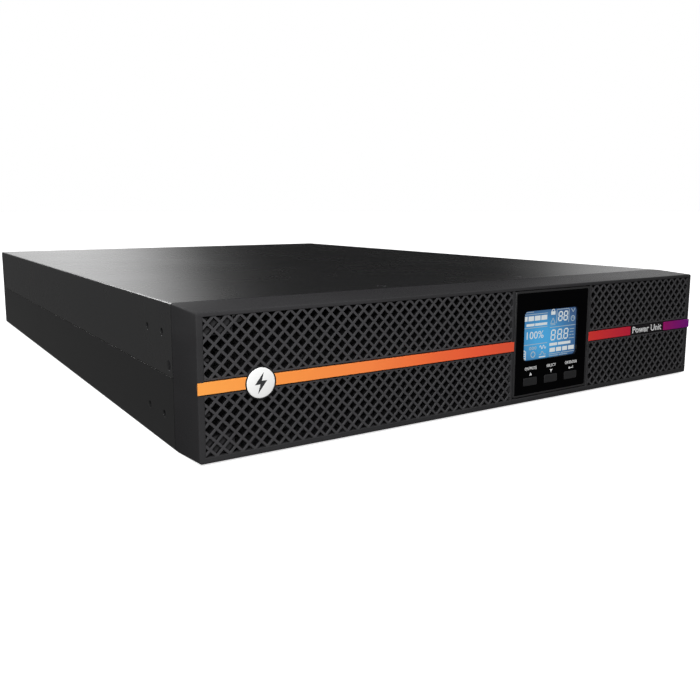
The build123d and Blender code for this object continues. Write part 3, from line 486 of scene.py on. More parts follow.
# ------------------------------------------------------------------ surfaces
class Surface:
    """A material under construction, on the piece's own coordinates."""

    def __init__(self, name, roughness, metallic=0.0, **fixed):
        self.material = bpy.data.materials.new(name)
        self.material.use_nodes = True
        self.nodes = self.material.node_tree.nodes
        self.links = self.material.node_tree.links
        self.shader = self.nodes["Principled BSDF"]
        self.shader.inputs["Roughness"].default_value = roughness
        self.shader.inputs["Metallic"].default_value = metallic
        for key, value in fixed.items():
            self.shader.inputs[key.replace("_", " ")].default_value = value
        self.place = self.nodes.new("ShaderNodeTexCoord").outputs["Object"]

    def stretched(self, scale, turn=(0.0, 0.0, 0.0)):
        """The piece's coordinates, stretched and turned."""
        mapping = self.nodes.new("ShaderNodeMapping")
        mapping.inputs["Scale"].default_value = scale
        mapping.inputs["Rotation"].default_value = turn
        self.links.new(self.place, mapping.inputs["Vector"])
        return mapping.outputs[0]

    def noise(self, scale, detail=3.0, rough=0.5, vector=None):
        node = self.nodes.new("ShaderNodeTexNoise")
        node.inputs["Scale"].default_value = scale
        node.inputs["Detail"].default_value = detail
        node.inputs["Roughness"].default_value = rough
        self.links.new(vector or self.place, node.inputs["Vector"])
        return node.outputs["Fac"]

    def cells(self, scale, output="Distance", vector=None, **settings_of_node):
        node = self.nodes.new("ShaderNodeTexVoronoi")
        for key, value in settings_of_node.items():
            setattr(node, key, value)
        node.inputs["Scale"].default_value = scale
        self.links.new(vector or self.place, node.inputs["Vector"])
        return node.outputs[output]

    def ramp(self, factor, stops, ease="LINEAR"):
        """Colours along a factor, from (position, colour) stops."""
        node = self.nodes.new("ShaderNodeValToRGB")
        node.color_ramp.interpolation = ease
        elements = node.color_ramp.elements
        while len(elements) < len(stops):
            elements.new(0.5)
        for element, (position, colour) in zip(elements, stops):
            element.position = position
            element.color = (*colour, 1.0)
        self.links.new(factor, node.inputs["Fac"])
        return node.outputs["Color"]

    def span(self, factor, low, high, to_low, to_high):
        """A factor carried from one range to another."""
        node = self.nodes.new("ShaderNodeMapRange")
        for key, value in zip(("From Min", "From Max", "To Min", "To Max"), (low, high, to_low, to_high)):
            node.inputs[key].default_value = value
        self.links.new(factor, node.inputs["Value"])
        return node.outputs["Result"]

    def axis(self, letter):
        node = self.nodes.new("ShaderNodeSeparateXYZ")
        self.links.new(self.place, node.inputs[0])
        return node.outputs[letter]

    def math(self, operation, first, second):
        node = self.nodes.new("ShaderNodeMath")
        node.operation = operation
        for socket, value in zip(node.inputs, (first, second)):
            if isinstance(value, (int, float)):
                socket.default_value = value
            else:
                self.links.new(value, socket)
        return node.outputs[0]

    def mixed(self, factor, first, second, blend="MIX"):
        node = self.nodes.new("ShaderNodeMix")
        node.data_type = "RGBA"
        node.blend_type = blend
        for index, value in ((0, factor), (6, first), (7, second)):
            if isinstance(value, (int, float)):
                node.inputs[index].default_value = value
            elif isinstance(value, tuple):
                node.inputs[index].default_value = (*value, 1.0)
            else:
                self.links.new(value, node.inputs[index])
        return node.outputs[2]

    def colour(self, value):
        socket = self.shader.inputs["Base Color"]
        if isinstance(value, tuple):
            socket.default_value = (*value, 1.0)
        else:
            self.links.new(value, socket)
        return self

    def roughness(self, value):
        self.links.new(value, self.shader.inputs["Roughness"])
        return self

    def bump(self, heights):
        """Bumps from (height, distance in millimetres, strength) in turn."""
        normal = None
        for height, distance, strength in heights:
            node = self.nodes.new("ShaderNodeBump")
            node.inputs["Distance"].default_value = distance * MM
            node.inputs["Strength"].default_value = strength
            self.links.new(height, node.inputs["Height"])
            if normal:
                self.links.new(normal, node.inputs["Normal"])
            normal = node.outputs["Normal"]
        self.links.new(normal, self.shader.inputs["Normal"])
        return self


def shade(colour, factor):
    return tuple(channel * factor for channel in colour)


LOOKS = {}


def look(name, make, *values):
    """A surface by name, made the first time it is asked for."""
    if name not in LOOKS:
        LOOKS[name] = make(name, *values)
    return LOOKS[name]


def powder_coat(name, colour, roughness=0.27, level=0.5):
    """Fine orange-peel paint on steel, a little paler where it is thick."""
    surface = Surface(name, roughness, Specular_IOR_Level=level)
    peel = surface.noise(1900.0, 2.0)
    drift = surface.noise(14.0, 4.0)
    speck = surface.cells(2600.0, "Distance")
    surface.colour(
        surface.mixed(
            surface.span(speck, 0.0, 0.5, 0.25, 0.0),
            surface.ramp(drift, [(0.3, shade(colour, 0.95)), (0.7, shade(colour, 1.05))]), shade(colour, 1.5),
        )
    )
    surface.roughness(surface.span(drift, 0.3, 0.7, roughness - 0.008, roughness + 0.01))
    return surface.bump([(peel, 0.01, 0.03), (speck, 0.005, 0.02)]).material


def moulded_plastic(name, colour, roughness=0.5, grain=1.0, level=0.28):
    """Spark-eroded plastic: a fine even grain with faint flow marks."""
    surface = Surface(name, roughness, Specular_IOR_Level=level)
    pits = surface.cells(2200.0, "Distance")
    grit = surface.noise(3600.0, 2.0)
    flow = surface.noise(1.0, 3.0, vector=surface.stretched((9.0, 9.0, 40.0)))
    tone = surface.ramp(flow, [(0.32, shade(colour, 0.88)), (0.68, shade(colour, 1.1))])
    surface.colour(surface.mixed(surface.span(grit, 0.45, 0.75, 0.0, 0.35), tone, shade(colour, 1.45)))
    surface.roughness(surface.span(grit, 0.3, 0.7, roughness - 0.06, roughness + 0.08))
    return surface.bump([(pits, 0.03, 0.22 * grain), (grit, 0.015, 0.25 * grain)]).material


def lattice_plastic(name, colour, front):
    """The moulding's plastic, with painted shade where the bars go down into the shadow behind."""
    surface = Surface(name, 0.42, Specular_IOR_Level=0.25)
    grit = surface.noise(3600.0, 2.0)
    # Painted shade: behind the front face the bars' walls darken to near black with depth.
    depth = surface.span(surface.axis("Y"), (front + 0.06) * MM, (front + 0.5) * MM, 0.0, 0.95)
    tone = surface.mixed(surface.span(grit, 0.45, 0.75, 0.0, 0.3), colour, shade(colour, 1.35))
    surface.colour(surface.mixed(depth, tone, shade(colour, 0.06)))
    surface.roughness(surface.span(grit, 0.3, 0.7, 0.38, 0.48))
    return surface.bump([(grit, 0.012, 0.2)]).material


def lens_film(name, colour):
    """A dark printed window with a matt-free face and faint wipes."""
    surface = Surface(name, 0.1, Specular_IOR_Level=0.3)
    wipe = surface.noise(1.0, 4.0, 0.7, surface.stretched((30.0, 30.0, 900.0), (0.3, 0.4, 0.0)))
    surface.colour(surface.ramp(wipe, [(0.3, colour), (0.8, shade(colour, 1.6))]))
    surface.roughness(surface.span(wipe, 0.5, 0.8, 0.08, 0.16))
    return surface.bump([(wipe, 0.004, 0.04)]).material


def gloss_plastic(name, colour, roughness=0.08):
    """Polished plastic with a few hairline wipes."""
    surface = Surface(name, roughness, Specular_IOR_Level=0.5, Coat_Weight=0.3, Coat_Roughness=0.04)
    wipe = surface.noise(1.0, 4.0, 0.7, surface.stretched((30.0, 30.0, 900.0), (0.3, 0.4, 0.0)))
    smear = surface.noise(22.0, 3.0)
    surface.colour(surface.ramp(smear, [(0.3, shade(colour, 0.92)), (0.7, shade(colour, 1.08))]))
    surface.roughness(surface.span(wipe, 0.5, 0.8, roughness, roughness + 0.14))
    return surface.bump([(smear, 0.01, 0.05)]).material


def printed_stripe(name, stops, start, end):
    """A printed band whose colour runs along the width of the front."""
    surface = Surface(name, 0.34, Specular_IOR_Level=0.14)
    along = surface.span(surface.axis("X"), start * MM, end * MM, 0.0, 1.0)
    grain = surface.noise(2400.0, 2.0)
    drift = surface.noise(60.0, 3.0)
    band = surface.ramp(along, stops)
    dotted = surface.mixed(surface.span(grain, 0.5, 0.8, 0.0, 0.02), band, (1.0, 0.9, 0.8))
    surface.colour(surface.mixed(surface.span(drift, 0.35, 0.65, 0.0, 0.04), dotted, (0.2, 0.05, 0.03)))
    surface.roughness(surface.span(drift, 0.3, 0.7, 0.3, 0.4))
    return surface.bump([(grain, 0.01, 0.12)]).material


def lit_screen(name, colour, brightness, left, right, bottom, top):
    """The backlight behind the glass with a painted highlight: bright at the left middle, deeper above and at
    the right.
    """
    surface = Surface(name, 0.22, Specular_IOR_Level=0.3)
    x = surface.span(surface.axis("X"), left * MM, right * MM, 0.0, 1.0)
    z = surface.span(surface.axis("Z"), bottom * MM, top * MM, -0.8, 1.2)
    # Painted highlight: the glow is brightest at the left middle and falls off above, below and to the right.
    bulge = surface.math("SUBTRACT", 1.0, surface.math("MULTIPLY", surface.math("MULTIPLY", z, z), 0.5))
    side = surface.math("MINIMUM", surface.span(x, 0.0, 0.3, 0.72, 1.0), surface.span(x, 0.45, 1.0, 1.0, 0.3))
    painted_highlight = surface.math("MULTIPLY", bulge, side)
    weave = surface.noise(1500.0, 1.0)
    soft = surface.math("MULTIPLY", painted_highlight, surface.span(weave, 0.3, 0.7, 0.94, 1.06))
    deep = (colour[0] * 0.7, colour[1] * 0.28, colour[2] * 0.32)
    even = (colour[0] * 0.8, colour[1] * 0.52, colour[2] * 0.57)
    glow = surface.ramp(soft, [(0.2, deep), (0.5, even), (0.95, colour)])
    surface.colour((0.0, 0.003, 0.008))
    surface.links.new(glow, surface.shader.inputs["Emission Color"])
    surface.shader.inputs["Emission Strength"].default_value = brightness
    return surface.material


def lit_mark(name, colour, strength):
    """A segment of the screen that shines through."""
    surface = Surface(name, 0.3)
    grid = surface.noise(1800.0, 1.0)
    tone = surface.ramp(grid, [(0.3, shade(colour, 0.9)), (0.7, colour)])
    surface.colour(shade(colour, 0.1))
    surface.links.new(tone, surface.shader.inputs["Emission Color"])
    surface.shader.inputs["Emission Strength"].default_value = strength
    return surface.material


def case_paint():
    return look("black_powder_coat", powder_coat, tuple(settings("power_case").paint))


def bezel_plastic():
    return look("bezel_plastic", moulded_plastic, tuple(settings("power_bezel").plastic), 0.3, 0.5, 0.012)


# ------------------------------------------------------------------ operators
def build_case():
    case = settings("power_case")
    sheet, bend = case.sheet, case.bend
    inner = HALF - sheet
    paint = case_paint()
    # The base's coat is the case paint darkened to 0.8: a shaded copy of the same paint, painted shade on the
    # lower sheet.
    under = look("base_powder_coat", powder_coat, shade(tuple(case.paint), 0.8), 0.3, 0.25)

    def folded(outer_corner, roof, inner_corner, roof_in, edge):
        """The section of a sheet folded down at both sides."""
        quarter = [math.radians(90 * step / 5) for step in range(6)]
        sign = 1 if roof > edge else -1
        right = [
            (HALF - outer_corner * (1 - math.cos(t)), roof - sign * outer_corner * (1 - math.sin(t)))
            for t in quarter
        ]
        right_in = [
            (inner - inner_corner * (1 - math.cos(t)), roof_in - sign * inner_corner * (1 - math.sin(t)))
            for t in quarter
        ]
        outer = [(HALF, edge), *right, *[(-x, z) for x, z in reversed(right)], (-HALF, edge)]
        inside = [(-inner, edge), *[(-x, z) for x, z in right_in], *reversed(right_in), (inner, edge)]
        return outer + inside

    cover = drawn(plate, folded(bend, TOP, 0.5, TOP - sheet, SEAM_HIGH), CASE_FRONT, CASE_BACK)
    base = drawn(plate, folded(1.5, 0.0, 0.4, sheet, SEAM_LOW), CASE_FRONT, CASE_BACK)
    ear_cut, sink_cut = bmesh.new(), bmesh.new()
    for side in (-1, 1):
        for y in EAR_Y:
            for z in EAR_Z:
                start = (side * (HALF - 3), y, z)
                turned(ear_cut, start, (side, 0, 0), [(0, 2.1), (2.75, 2.1), (3.3, 2.65)], 32)
    for place in SIDE_SCREWS + TOP_SCREWS:
        axis = (0, 0, 1) if place in TOP_SCREWS else (math.copysign(1, place[0]), 0, 0)
        start = Vector(place) - Vector(axis) * 3
        turned(sink_cut, start, axis, [(0, 1.8), (1.8, 1.8), (3.0, 3.0), (3.4, 3.0)], 32)
    ear_tool = to_mesh(ear_cut, "ear_cut")
    sink_tool = to_mesh(sink_cut, "sink_cut")
    cover = drilled(drilled(cover, ear_tool), sink_tool)
    base = drilled(base, ear_tool)
    bm = bmesh.new()
    for side in (-1, 1):
        out, back = side * (inner - 0.2), side * (inner - 1.4)
        slab(bm, (side * (inner + 0.2), back), (CASE_FRONT + 5, CASE_BACK - 8), (37, 39))
        slab(bm, (out, back), (CASE_FRONT + 5, CASE_BACK - 8), (37, 55))
    for x in (22.0, 206.0):
        for y in (-228.0, -84.0, 60.0, 208.0):
            turned(bm, (x, y, sheet - 0.2), (0, 0, 1), [(0, 3.5), (9.0, 3.5)], 6)
    base = joined("base", [base, to_mesh(bm, "tongues")])
    piece("top_cover_folded", cover, paint, "chassis", ["top_cover"], 0.25)
    piece("base_folded", base, under, "chassis", ["base_chassis"], 0.25)

    screw = drawn(
        turned, (0, 0, 0), (0, 0, -1), [(0, 0), (0.02, 2.6), (0.2, 2.82), (1.25, 1.5), (4.7, 1.5), (4.75, 0)],
        32,
    )
    bm = bmesh.new()
    for across in ((1.5, 0.33), (0.33, 1.5)):
        bmesh.ops.create_cube(bm, size=2.0, matrix=Matrix.Diagonal((across[0], across[1], 0.85, 1)))
    screw = drilled(screw, to_mesh(bm, "cross"))
    black = look("blackened_steel", metal_plating, (0.05, 0.05, 0.055), 0.42)
    places = [(*p, 0.0, 0.0, 0.4) for p in TOP_SCREWS]
    places += [(*p, 0.0, math.copysign(math.pi / 2, p[0]), 0.0) for p in SIDE_SCREWS]
    screws = copies(screw, places, black)
    piece("cover_screws_sunk", screws, black, "chassis", ["cover_screws"])


class POWERUNIT_OT_case(bpy.types.Operator):
    """Build the folded cover and base with their screws"""

    bl_idname = "powerunit.case"
    bl_label = "Steel case"

    def execute(self, context):
        build_case()
        return {"FINISHED"}


def metal_plating(name, colour, roughness=0.35):
    """Plated steel with fine drawing lines and cloudy patches."""
    surface = Surface(name, roughness, 0.92)
    lines = surface.noise(1.0, 3.0, 0.6, surface.stretched((260.0, 2600.0, 260.0)))
    cloud = surface.noise(45.0, 4.0)
    tone = surface.ramp(cloud, [(0.3, shade(colour, 0.85)), (0.7, shade(colour, 1.1))])
    surface.colour(surface.mixed(surface.span(lines, 0.4, 0.7, 0.0, 0.22), tone, shade(colour, 0.6)))
    surface.roughness(surface.span(cloud, 0.3, 0.7, roughness - 0.06, roughness + 0.1))
    return surface.bump([(lines, 0.01, 0.25)]).material


def diamond_lattice(bounds, hole, cell, bar, y0, y1, material):
    """A lattice of diamonds cut to a rectangle, with one hole's middle at a set place."""
    left, right, bottom, top = bounds
    reach = cell / 2 - bar / math.sqrt(2)
    lip = 0.22

    def diamond(bm, half, y):
        return loop(bm, [(half, 0), (0, half), (-half, 0), (0, -half)], y)

    bm = bmesh.new()
    front, back = diamond(bm, cell / 2, y0), diamond(bm, cell / 2, y1)
    mouth, throat, rear = diamond(bm, reach + lip, y0), diamond(bm, reach, y0 + lip), diamond(bm, reach, y1)
    for one, other in ((front, mouth), (mouth, throat), (throat, rear), (rear, back)):
        skin(bm, one, other)
    bmesh.ops.scale(bm, vec=(MM, MM, MM), verts=bm.verts)
    bmesh.ops.rotate(bm, cent=(0, 0, 0), matrix=Matrix.Rotation(math.pi / 2, 3, "X"), verts=bm.verts)
    ring = bpy.data.meshes.new("ring")
    bm.to_mesh(ring)
    bm.free()
    thing = bpy.data.objects.new("ring", ring)
    bpy.context.scene.collection.objects.link(thing)
    tree = bpy.data.node_groups.get("Diamond Lattice") or lattice_tree()
    columns = 2 * math.ceil((right - left) / cell / 2) + 5
    rows = 2 * math.ceil((top - bottom) / cell / 2) + 5
    start = bpy.data.meshes.new("start")
    field = grown(
        tree, start, {"Ring": thing, "Columns": columns, "Rows": rows, "Cell": cell * MM, "Material": material},
    )
    bpy.data.objects.remove(thing)
    bm = bmesh.new()
    bm.from_mesh(field)
    bmesh.ops.rotate(bm, cent=(0, 0, 0), matrix=Matrix.Rotation(-math.pi / 2, 3, "X"), verts=bm.verts)
    bmesh.ops.scale(bm, vec=(1 / MM, 1 / MM, 1 / MM), verts=bm.verts)
    middle = ((left + right) / 2, (bottom + top) / 2)
    start = [hole[i] + cell * round((middle[i] - hole[i]) / cell) for i in (0, 1)]
    bmesh.ops.translate(bm, vec=(start[0], 0, start[1]), verts=bm.verts)
    bmesh.ops.remove_doubles(bm, verts=bm.verts, dist=0.01)
    for place, normal in (
        ((left, 0, 0), (-1, 0, 0)), ((right, 0, 0), (1, 0, 0)), ((0, 0, bottom), (0, 0, -1)),
        ((0, 0, top), (0, 0, 1)),
    ):
        bmesh.ops.bisect_plane(
            bm, geom=bm.verts[:] + bm.edges[:] + bm.faces[:], plane_co=place, plane_no=normal, clear_outer=True,
            dist=0.001,
        )
        open_edges = [edge for edge in bm.edges if edge.is_boundary]
        bmesh.ops.holes_fill(bm, edges=[e for e in open_edges if on_plane(e, place, normal)])
    return to_mesh(bm, "lattice")


def on_plane(edge, place, normal):
    """Whether both ends of an edge lie on a plane."""
    return all(abs((v.co - Vector(place)).dot(Vector(normal))) < 0.01 for v in edge.verts)


def build_bezel():
    bezel = settings("power_bezel")
    plastic = bezel_plastic()
    left_field, right_field = span("grille_left"), span("grille_right")
    openings = [
        (field[0] - 0.05, field[1] + 0.05, field[4] - 0.05, field[5] + 0.05)
        for field in (left_field, right_field)
    ]
    pocket = (MODULE[0] - 0.7, MODULE[1] + 0.7, MODULE[4] - 0.7, MODULE[5] + 0.5)
    kink = BEZEL[3] - BEZEL_KINK
    face_box = (-HALF + 1.2, HALF - 1.2, 1.6, TOP - 1.7)
    back_box = (-HALF, HALF, 0.0, TOP)

    def section(bm, box, inset, radius, y):
        left, right, bottom, top = box
        outline = rounded(left + inset, right - inset, bottom + inset, top - inset, radius)
        return loop(bm, outline, y)

    bm = bmesh.new()
    wall, front_wall = 2.3, 3.0
    shell = [
        section(bm, face_box, 0.7, 1.0, FACE), section(bm, face_box, 0.28, 1.3, FACE + 0.14),
        section(bm, face_box, 0.06, 1.5, FACE + 0.42), section(bm, face_box, -0.03, 1.6, FACE + 0.9),
        section(bm, back_box, 0.0, 1.6, kink), section(bm, back_box, 0.0, 1.6, BEZEL[3] - 0.3),
        section(bm, back_box, 0.3, 1.4, BEZEL[3]), section(bm, back_box, wall, 0.6, BEZEL[3]),
        section(bm, back_box, wall, 0.6, kink), section(bm, face_box, wall, 0.6, FACE + front_wall),
    ]
    for one, other in zip(shell, shell[1:]):
        skin(bm, one, other)
    mouths, throats, rears = [], [], []
    for left, right, bottom, top in (*openings, pocket):
        mouths.append(section(bm, (left, right, bottom, top), -0.3, 0.5, FACE))
        throats.append(section(bm, (left, right, bottom, top), 0.0, 0.4, FACE + 0.3))
        rears.append(section(bm, (left, right, bottom, top), 0.0, 0.4, FACE + front_wall))
    cap(bm, shell[0], mouths)
    cap(bm, shell[-1], rears)
    for mouth, throat, rear in zip(mouths, throats, rears):
        skin(bm, mouth, throat)
        skin(bm, throat, rear)
    body = to_mesh(bm, "bezel")
    bm = bmesh.new()
    outer = (pocket[0] - 1.5, pocket[1] + 1.5, pocket[2] - 1.5, pocket[3] + 1.0)
    plate(bm, rounded(*outer, 0.8), FACE + front_wall - 0.1, FACE + 20, [rounded(*pocket, 0.4)])
    for side in (-1, 1):
        for z in (10.5, 76.0):
            x_pair = (side * (HALF - 3.5), side * 196.0)
            slab(bm, x_pair, (left_field[3], BEZEL[3] - 3), (z - 4.75, z + 4.75))
        for z in (28.0, 58.0):
            slab(bm, (side * (HALF - 3.5), side * 210.0), (FACE + 2.9, kink), (z - 0.8, z + 0.8))
    for x in (-150.0, -90.0, -30.0, 125.0, 165.0):
        for z_pair in ((2.8, 4.6), (82.2, 83.6)):
            slab(bm, (x - 0.8, x + 0.8), (FACE + 2.9, kink), z_pair)
    body = joined("bezel", [body, to_mesh(bm, "ribs")])
    piece("front_bezel_moulding", body, plastic, "bezel", ["front_bezel"])

    channel = (span("stripe_left")[4] - 1.2, span("stripe_left")[5] + 1.2)
    # The channel round the stripe is the moulding's plastic at 0.15: painted shade in the gap between the
    # stripe and the lattice.
    dark = look("channel_plastic", moulded_plastic, shade(tuple(bezel.plastic), 0.15), 0.6)
    bars = look("lattice_plastic", lattice_plastic, tuple(bezel.lattice), left_field[2])
    for name, field, opening, hole in (
        ("grille_left", left_field, openings[0], (-192.2, 78.2)),
        ("grille_right", right_field, openings[1], (99.9, 78.1)),
    ):
        left, right, bottom, top = opening
        meshes = []
        for low, high in ((bottom, channel[0]), (channel[1], top)):
            area = (left + 0.02, right - 0.02, low + 0.02, high - 0.02)
            meshes.append(diamond_lattice(area, hole, bezel.cell, bezel.bar, field[2], field[3], bars))
        bm = bmesh.new()
        edge = 0.9
        for z in channel:
            slab(bm, (left, right), (field[2], field[3]), (z - edge / 2, z + edge / 2))
        meshes.append(to_mesh(bm, "edges"))
        mesh = joined(name, meshes)
        piece(f"{name}_lattice", mesh, bars, "bezel", [name], smooth=25)
        channel_mesh = drawn(slab, (left, right), (FACE + 1.2, field[3] - 0.1), channel)
        piece(f"{name}_channel", channel_mesh, dark, "bezel", [], 0.1)

    warm, middle, cool = (tuple(bezel.stripe_warm), tuple(bezel.stripe_middle), tuple(bezel.stripe_cool))
    start, end = span("stripe_left")[0], span("stripe_right")[1]
    stops = [
        (0.0, warm), (0.12, (0.96, 0.305, 0.062)), (0.25, (0.96, 0.245, 0.062)), (0.36, (0.96, 0.165, 0.048)),
        (0.46, (0.92, 0.112, 0.046)), (0.53, middle), (0.72, (0.76, 0.040, 0.036)),
        (0.82, (0.62, 0.016, 0.050)), (0.93, (0.34, 0.003, 0.165)), (1.0, cool),
    ]
    ink = look("stripe_print", printed_stripe, stops, start, end)
    for name in ("stripe_left", "stripe_middle", "stripe_right"):
        x0, x1, y0, y1, z0, z1 = span(name)
        bm = bmesh.new()
        edges = [x0, x1]
        if name == "stripe_left":
            edges = [x0, RING[0] + 1.2, RING[1] - 1.2, x1]
        for a, b in zip(edges[::2], edges[1::2]):
            slab(bm, (a, b), (y0, FACE), (z0, z1))
            for left, right, _, _ in openings:
                inner_a, inner_b = max(a, left), min(b, right)
                if inner_b - inner_a > 1.0:
                    slab(bm, (inner_a, inner_b), (FACE - 0.2, y1 - 0.02), (z0 + 0.06, z1 - 0.06))
        mesh = to_mesh(bm, name)
        piece(f"{name}_band", mesh, ink, "bezel", [name], 0.15)

    x0, x1, y0, y1, z0, z1 = span("nameplate")
    plain = look("nameplate_print", gloss_plastic, (0.012, 0.010, 0.012), 0.25)
    mesh = drawn(plate, rounded(x0, x1, z0, z1, 0.3), y0, y1)
    piece("nameplate_strip", mesh, plain, "bezel", ["nameplate"], 0.1)
    white = look("white_print", printed_white, (0.86, 0.86, 0.86))
    words = lettering("Power Unit", 7.2, (x0 + x1) / 2 + 0.3, (z0 + z1) / 2 - 0.1, y0 - 0.02, 37.0, 0.06, 0.12)
    piece("nameplate_words", words, white, "bezel")
    add_badge()


def add_badge():
    """The round badge with its ring and a lightning bolt."""
    x, z = (DISC[0] + DISC[1]) / 2, (DISC[4] + DISC[5]) / 2
    radius = (DISC[1] - DISC[0]) / 2
    front = DISC[2] + 0.06
    enamel = look("badge_enamel", gloss_plastic, (0.92, 0.92, 0.91), 0.2)
    mesh = drawn(
        turned, (x, front, z), (0, 1, 0),
        [(0, 0), (0, radius - 0.6), (0.08, radius - 0.25), (0.3, radius), (0.95, radius), (0.95, 0)], 96,
    )
    piece("badge_disc_enamel", mesh, enamel, "bezel", ["badge_disc"])
    bm = bmesh.new()
    outer = (RING[1] - RING[0]) / 2
    turned(
        bm, (x, RING[2], z), (0, 1, 0),
        [
            (0.75, radius), (0.1, radius + 0.02), (0, radius + 0.2), (0, outer - 0.2), (0.12, outer),
            (1.0, outer),
        ],
        96,
    )
    dark = look("badge_ring_plastic", moulded_plastic, (0.012, 0.012, 0.013), 0.4)
    mesh = to_mesh(bm, "ring")
    piece("badge_ring_moulding", mesh, dark, "bezel", ["badge_ring"])
    bolt = [(1.9, 6.6), (-4.1, -0.9), (-0.5, -0.9), (-2.2, -6.6), (4.1, 1.3), (0.5, 1.3)]
    grey = look("badge_ink", moulded_plastic, (0.035, 0.036, 0.038), 0.45)
    piece(
        "badge_bolt", drawn(plate, [(x + a * 0.92, z + b * 0.92) for a, b in bolt], front - 0.05, front + 0.1),
        grey, "bezel",
    )


class POWERUNIT_OT_bezel(bpy.types.Operator):
    """Build the moulded front with its lattices, stripe and badge"""

    bl_idname = "powerunit.bezel"
    bl_label = "Front bezel"

    def execute(self, context):
        build_bezel()
        return {"FINISHED"}


def printed_white(name, colour):
    """White ink that thins a little at random."""
    surface = Surface(name, 0.45, Specular_IOR_Level=0.3)
    thin = surface.noise(900.0, 3.0)
    surface.colour(surface.ramp(thin, [(0.25, shade(colour, 0.85)), (0.6, colour)]))
    surface.roughness(surface.span(thin, 0.3, 0.7, 0.4, 0.55))
    return surface.bump([(thin, 0.01, 0.2)]).material


SCREEN_SHIFT = (2.0, -0.5)  # the screen lies behind the lens, so its marks stand a little aside


def seven_segments(bm, x, z, wide, high, stroke, y0, y1, slant=0.08):
    """The digit eight, as seven separate bars."""
    half = high / 2

    def bar(points):
        plate(bm, [(x + a + slant * b, z + b) for a, b in points], y0, y1)

    gap = stroke * 0.16
    for level in (0.0, half, high):
        low = min(max(level - stroke / 2, 0.0), high - stroke)
        a, b = stroke / 2 + gap, wide - stroke / 2 - gap
        bar(
            [
                (a, low + stroke / 2), (a + stroke / 2, low), (b - stroke / 2, low), (b, low + stroke / 2),
                (b - stroke / 2, low + stroke), (a + stroke / 2, low + stroke),
            ]
        )
    for side in (stroke / 2, wide - stroke / 2):
        for low, top in ((stroke / 2 + gap, half - gap), (half + gap, high - stroke / 2 - gap)):
            bar(
                [
                    (side, low), (side + stroke / 2, low + stroke / 2), (side + stroke / 2, top - stroke / 2),
                    (side, top), (side - stroke / 2, top - stroke / 2), (side - stroke / 2, low + stroke / 2),
                ]
            )


def ring_mark(bm, x, z, outer, inner, y0, y1, sides=20):
    plate(bm, circle(x, z, outer, sides), y0, y1, [circle(x, z, inner, sides)])


def line_mark(bm, points, width, y0, y1):
    """A bent line drawn as short bars."""
    for (xa, za), (xb, zb) in zip(points, points[1:]):
        across = Vector((zb - za, xa - xb)).normalized() * width / 2
        quad = [
            (xa + across.x, za + across.y), (xb + across.x, zb + across.y), (xb - across.x, zb - across.y),
            (xa - across.x, za - across.y),
        ]
        plate(bm, quad, y0, y1)


def build_display():
    display = settings("power_display")
    plastic = look("module_plastic", moulded_plastic, (0.026, 0.0255, 0.0265), 0.38)
    x0, x1, y0, y1, z0, z1 = MODULE
    lens_left, lens_right, _, lens_back, lens_bottom, lens_top = LENS
    seat = rounded(lens_left - 0.1, lens_right + 0.1, lens_bottom - 0.1, lens_top + 0.1, 1.0)
    bm = bmesh.new()
    rim = loop(bm, rounded(x0 + 0.35, x1 - 0.35, z0 + 0.35, z1 - 0.35, 1.2), y0)
    rim_side = loop(bm, rounded(x0, x1, z0, z1, 1.5), y0 + 0.35)
    tail = loop(bm, rounded(x0, x1, z0, z1, 1.5), y1)
    mouth = loop(bm, seat, y0)
    ledge = loop(bm, seat, lens_back)
    well = rounded(lens_left + 1.2, lens_right - 1.2, lens_bottom + 1.2, lens_top - 1.2, 1.0)
    ledge_in = loop(bm, well, lens_back)
    floor = loop(bm, well, y1 - 1.5)
    for one, other in (
        (rim, mouth), (rim, rim_side), (rim_side, tail), (mouth, ledge), (ledge, ledge_in), (ledge_in, floor),
    ):
        skin(bm, one, other)
    slot_x = span("display_ribbon")[:2]
    slot = rounded(slot_x[0] - 0.4, slot_x[1] + 0.4, 41.0, 44.0, 0.4)
    tail_slot, floor_slot = loop(bm, slot, y1), loop(bm, slot, y1 - 1.5)
    cap(bm, tail, [tail_slot])
    cap(bm, floor, [floor_slot])
    skin(bm, tail_slot, floor_slot)
    for x in (x0 + 7.0, x1 - 7.0):
        for z in (12.5, 75.5):
            turned(bm, (x, span("display_board")[3], z), (0, 1, 0), [(0, 2.5), (6.0, 2.5)], 16)
    mesh = to_mesh(bm, "housing")
    piece("display_housing_moulding", mesh, plastic, "display", ["display_housing"])

    keys = [span(name) for name in ("button_on", "button_select", "button_enter")]
    key_x = [(key[0] + key[1]) / 2 for key in keys]
    key_z = (keys[0][4] + keys[0][5]) / 2
    window = (24.7, 79.7, 31.7, 66.9)
    holes = [rounded(*window, 3.0)]
    holes += [rounded(x - 7.05, x + 7.05, key_z - 3.25, key_z + 3.25, 1.0) for x in key_x]
    bm = bmesh.new()
    outer = rounded(lens_left, lens_right, lens_bottom, lens_top, 1.0)
    plate(bm, outer, LENS[2], lens_back, holes)
    gloss = look("lens_gloss", lens_film, (0.0012, 0.0012, 0.0014))
    piece("display_lens_gloss", to_mesh(bm, "lens"), gloss, "display", ["display_lens"])

    key_look = look("key_rubber", moulded_plastic, tuple(display.key), 0.55)
    for name, body, key in zip(
        ("button_on", "button_select", "button_enter"), ("key_on", "key_select", "key_enter"), keys,
    ):
        add_key(name, body, key, key_z, key_look)
    add_screen(display, window)
    add_lens_print(key_x)


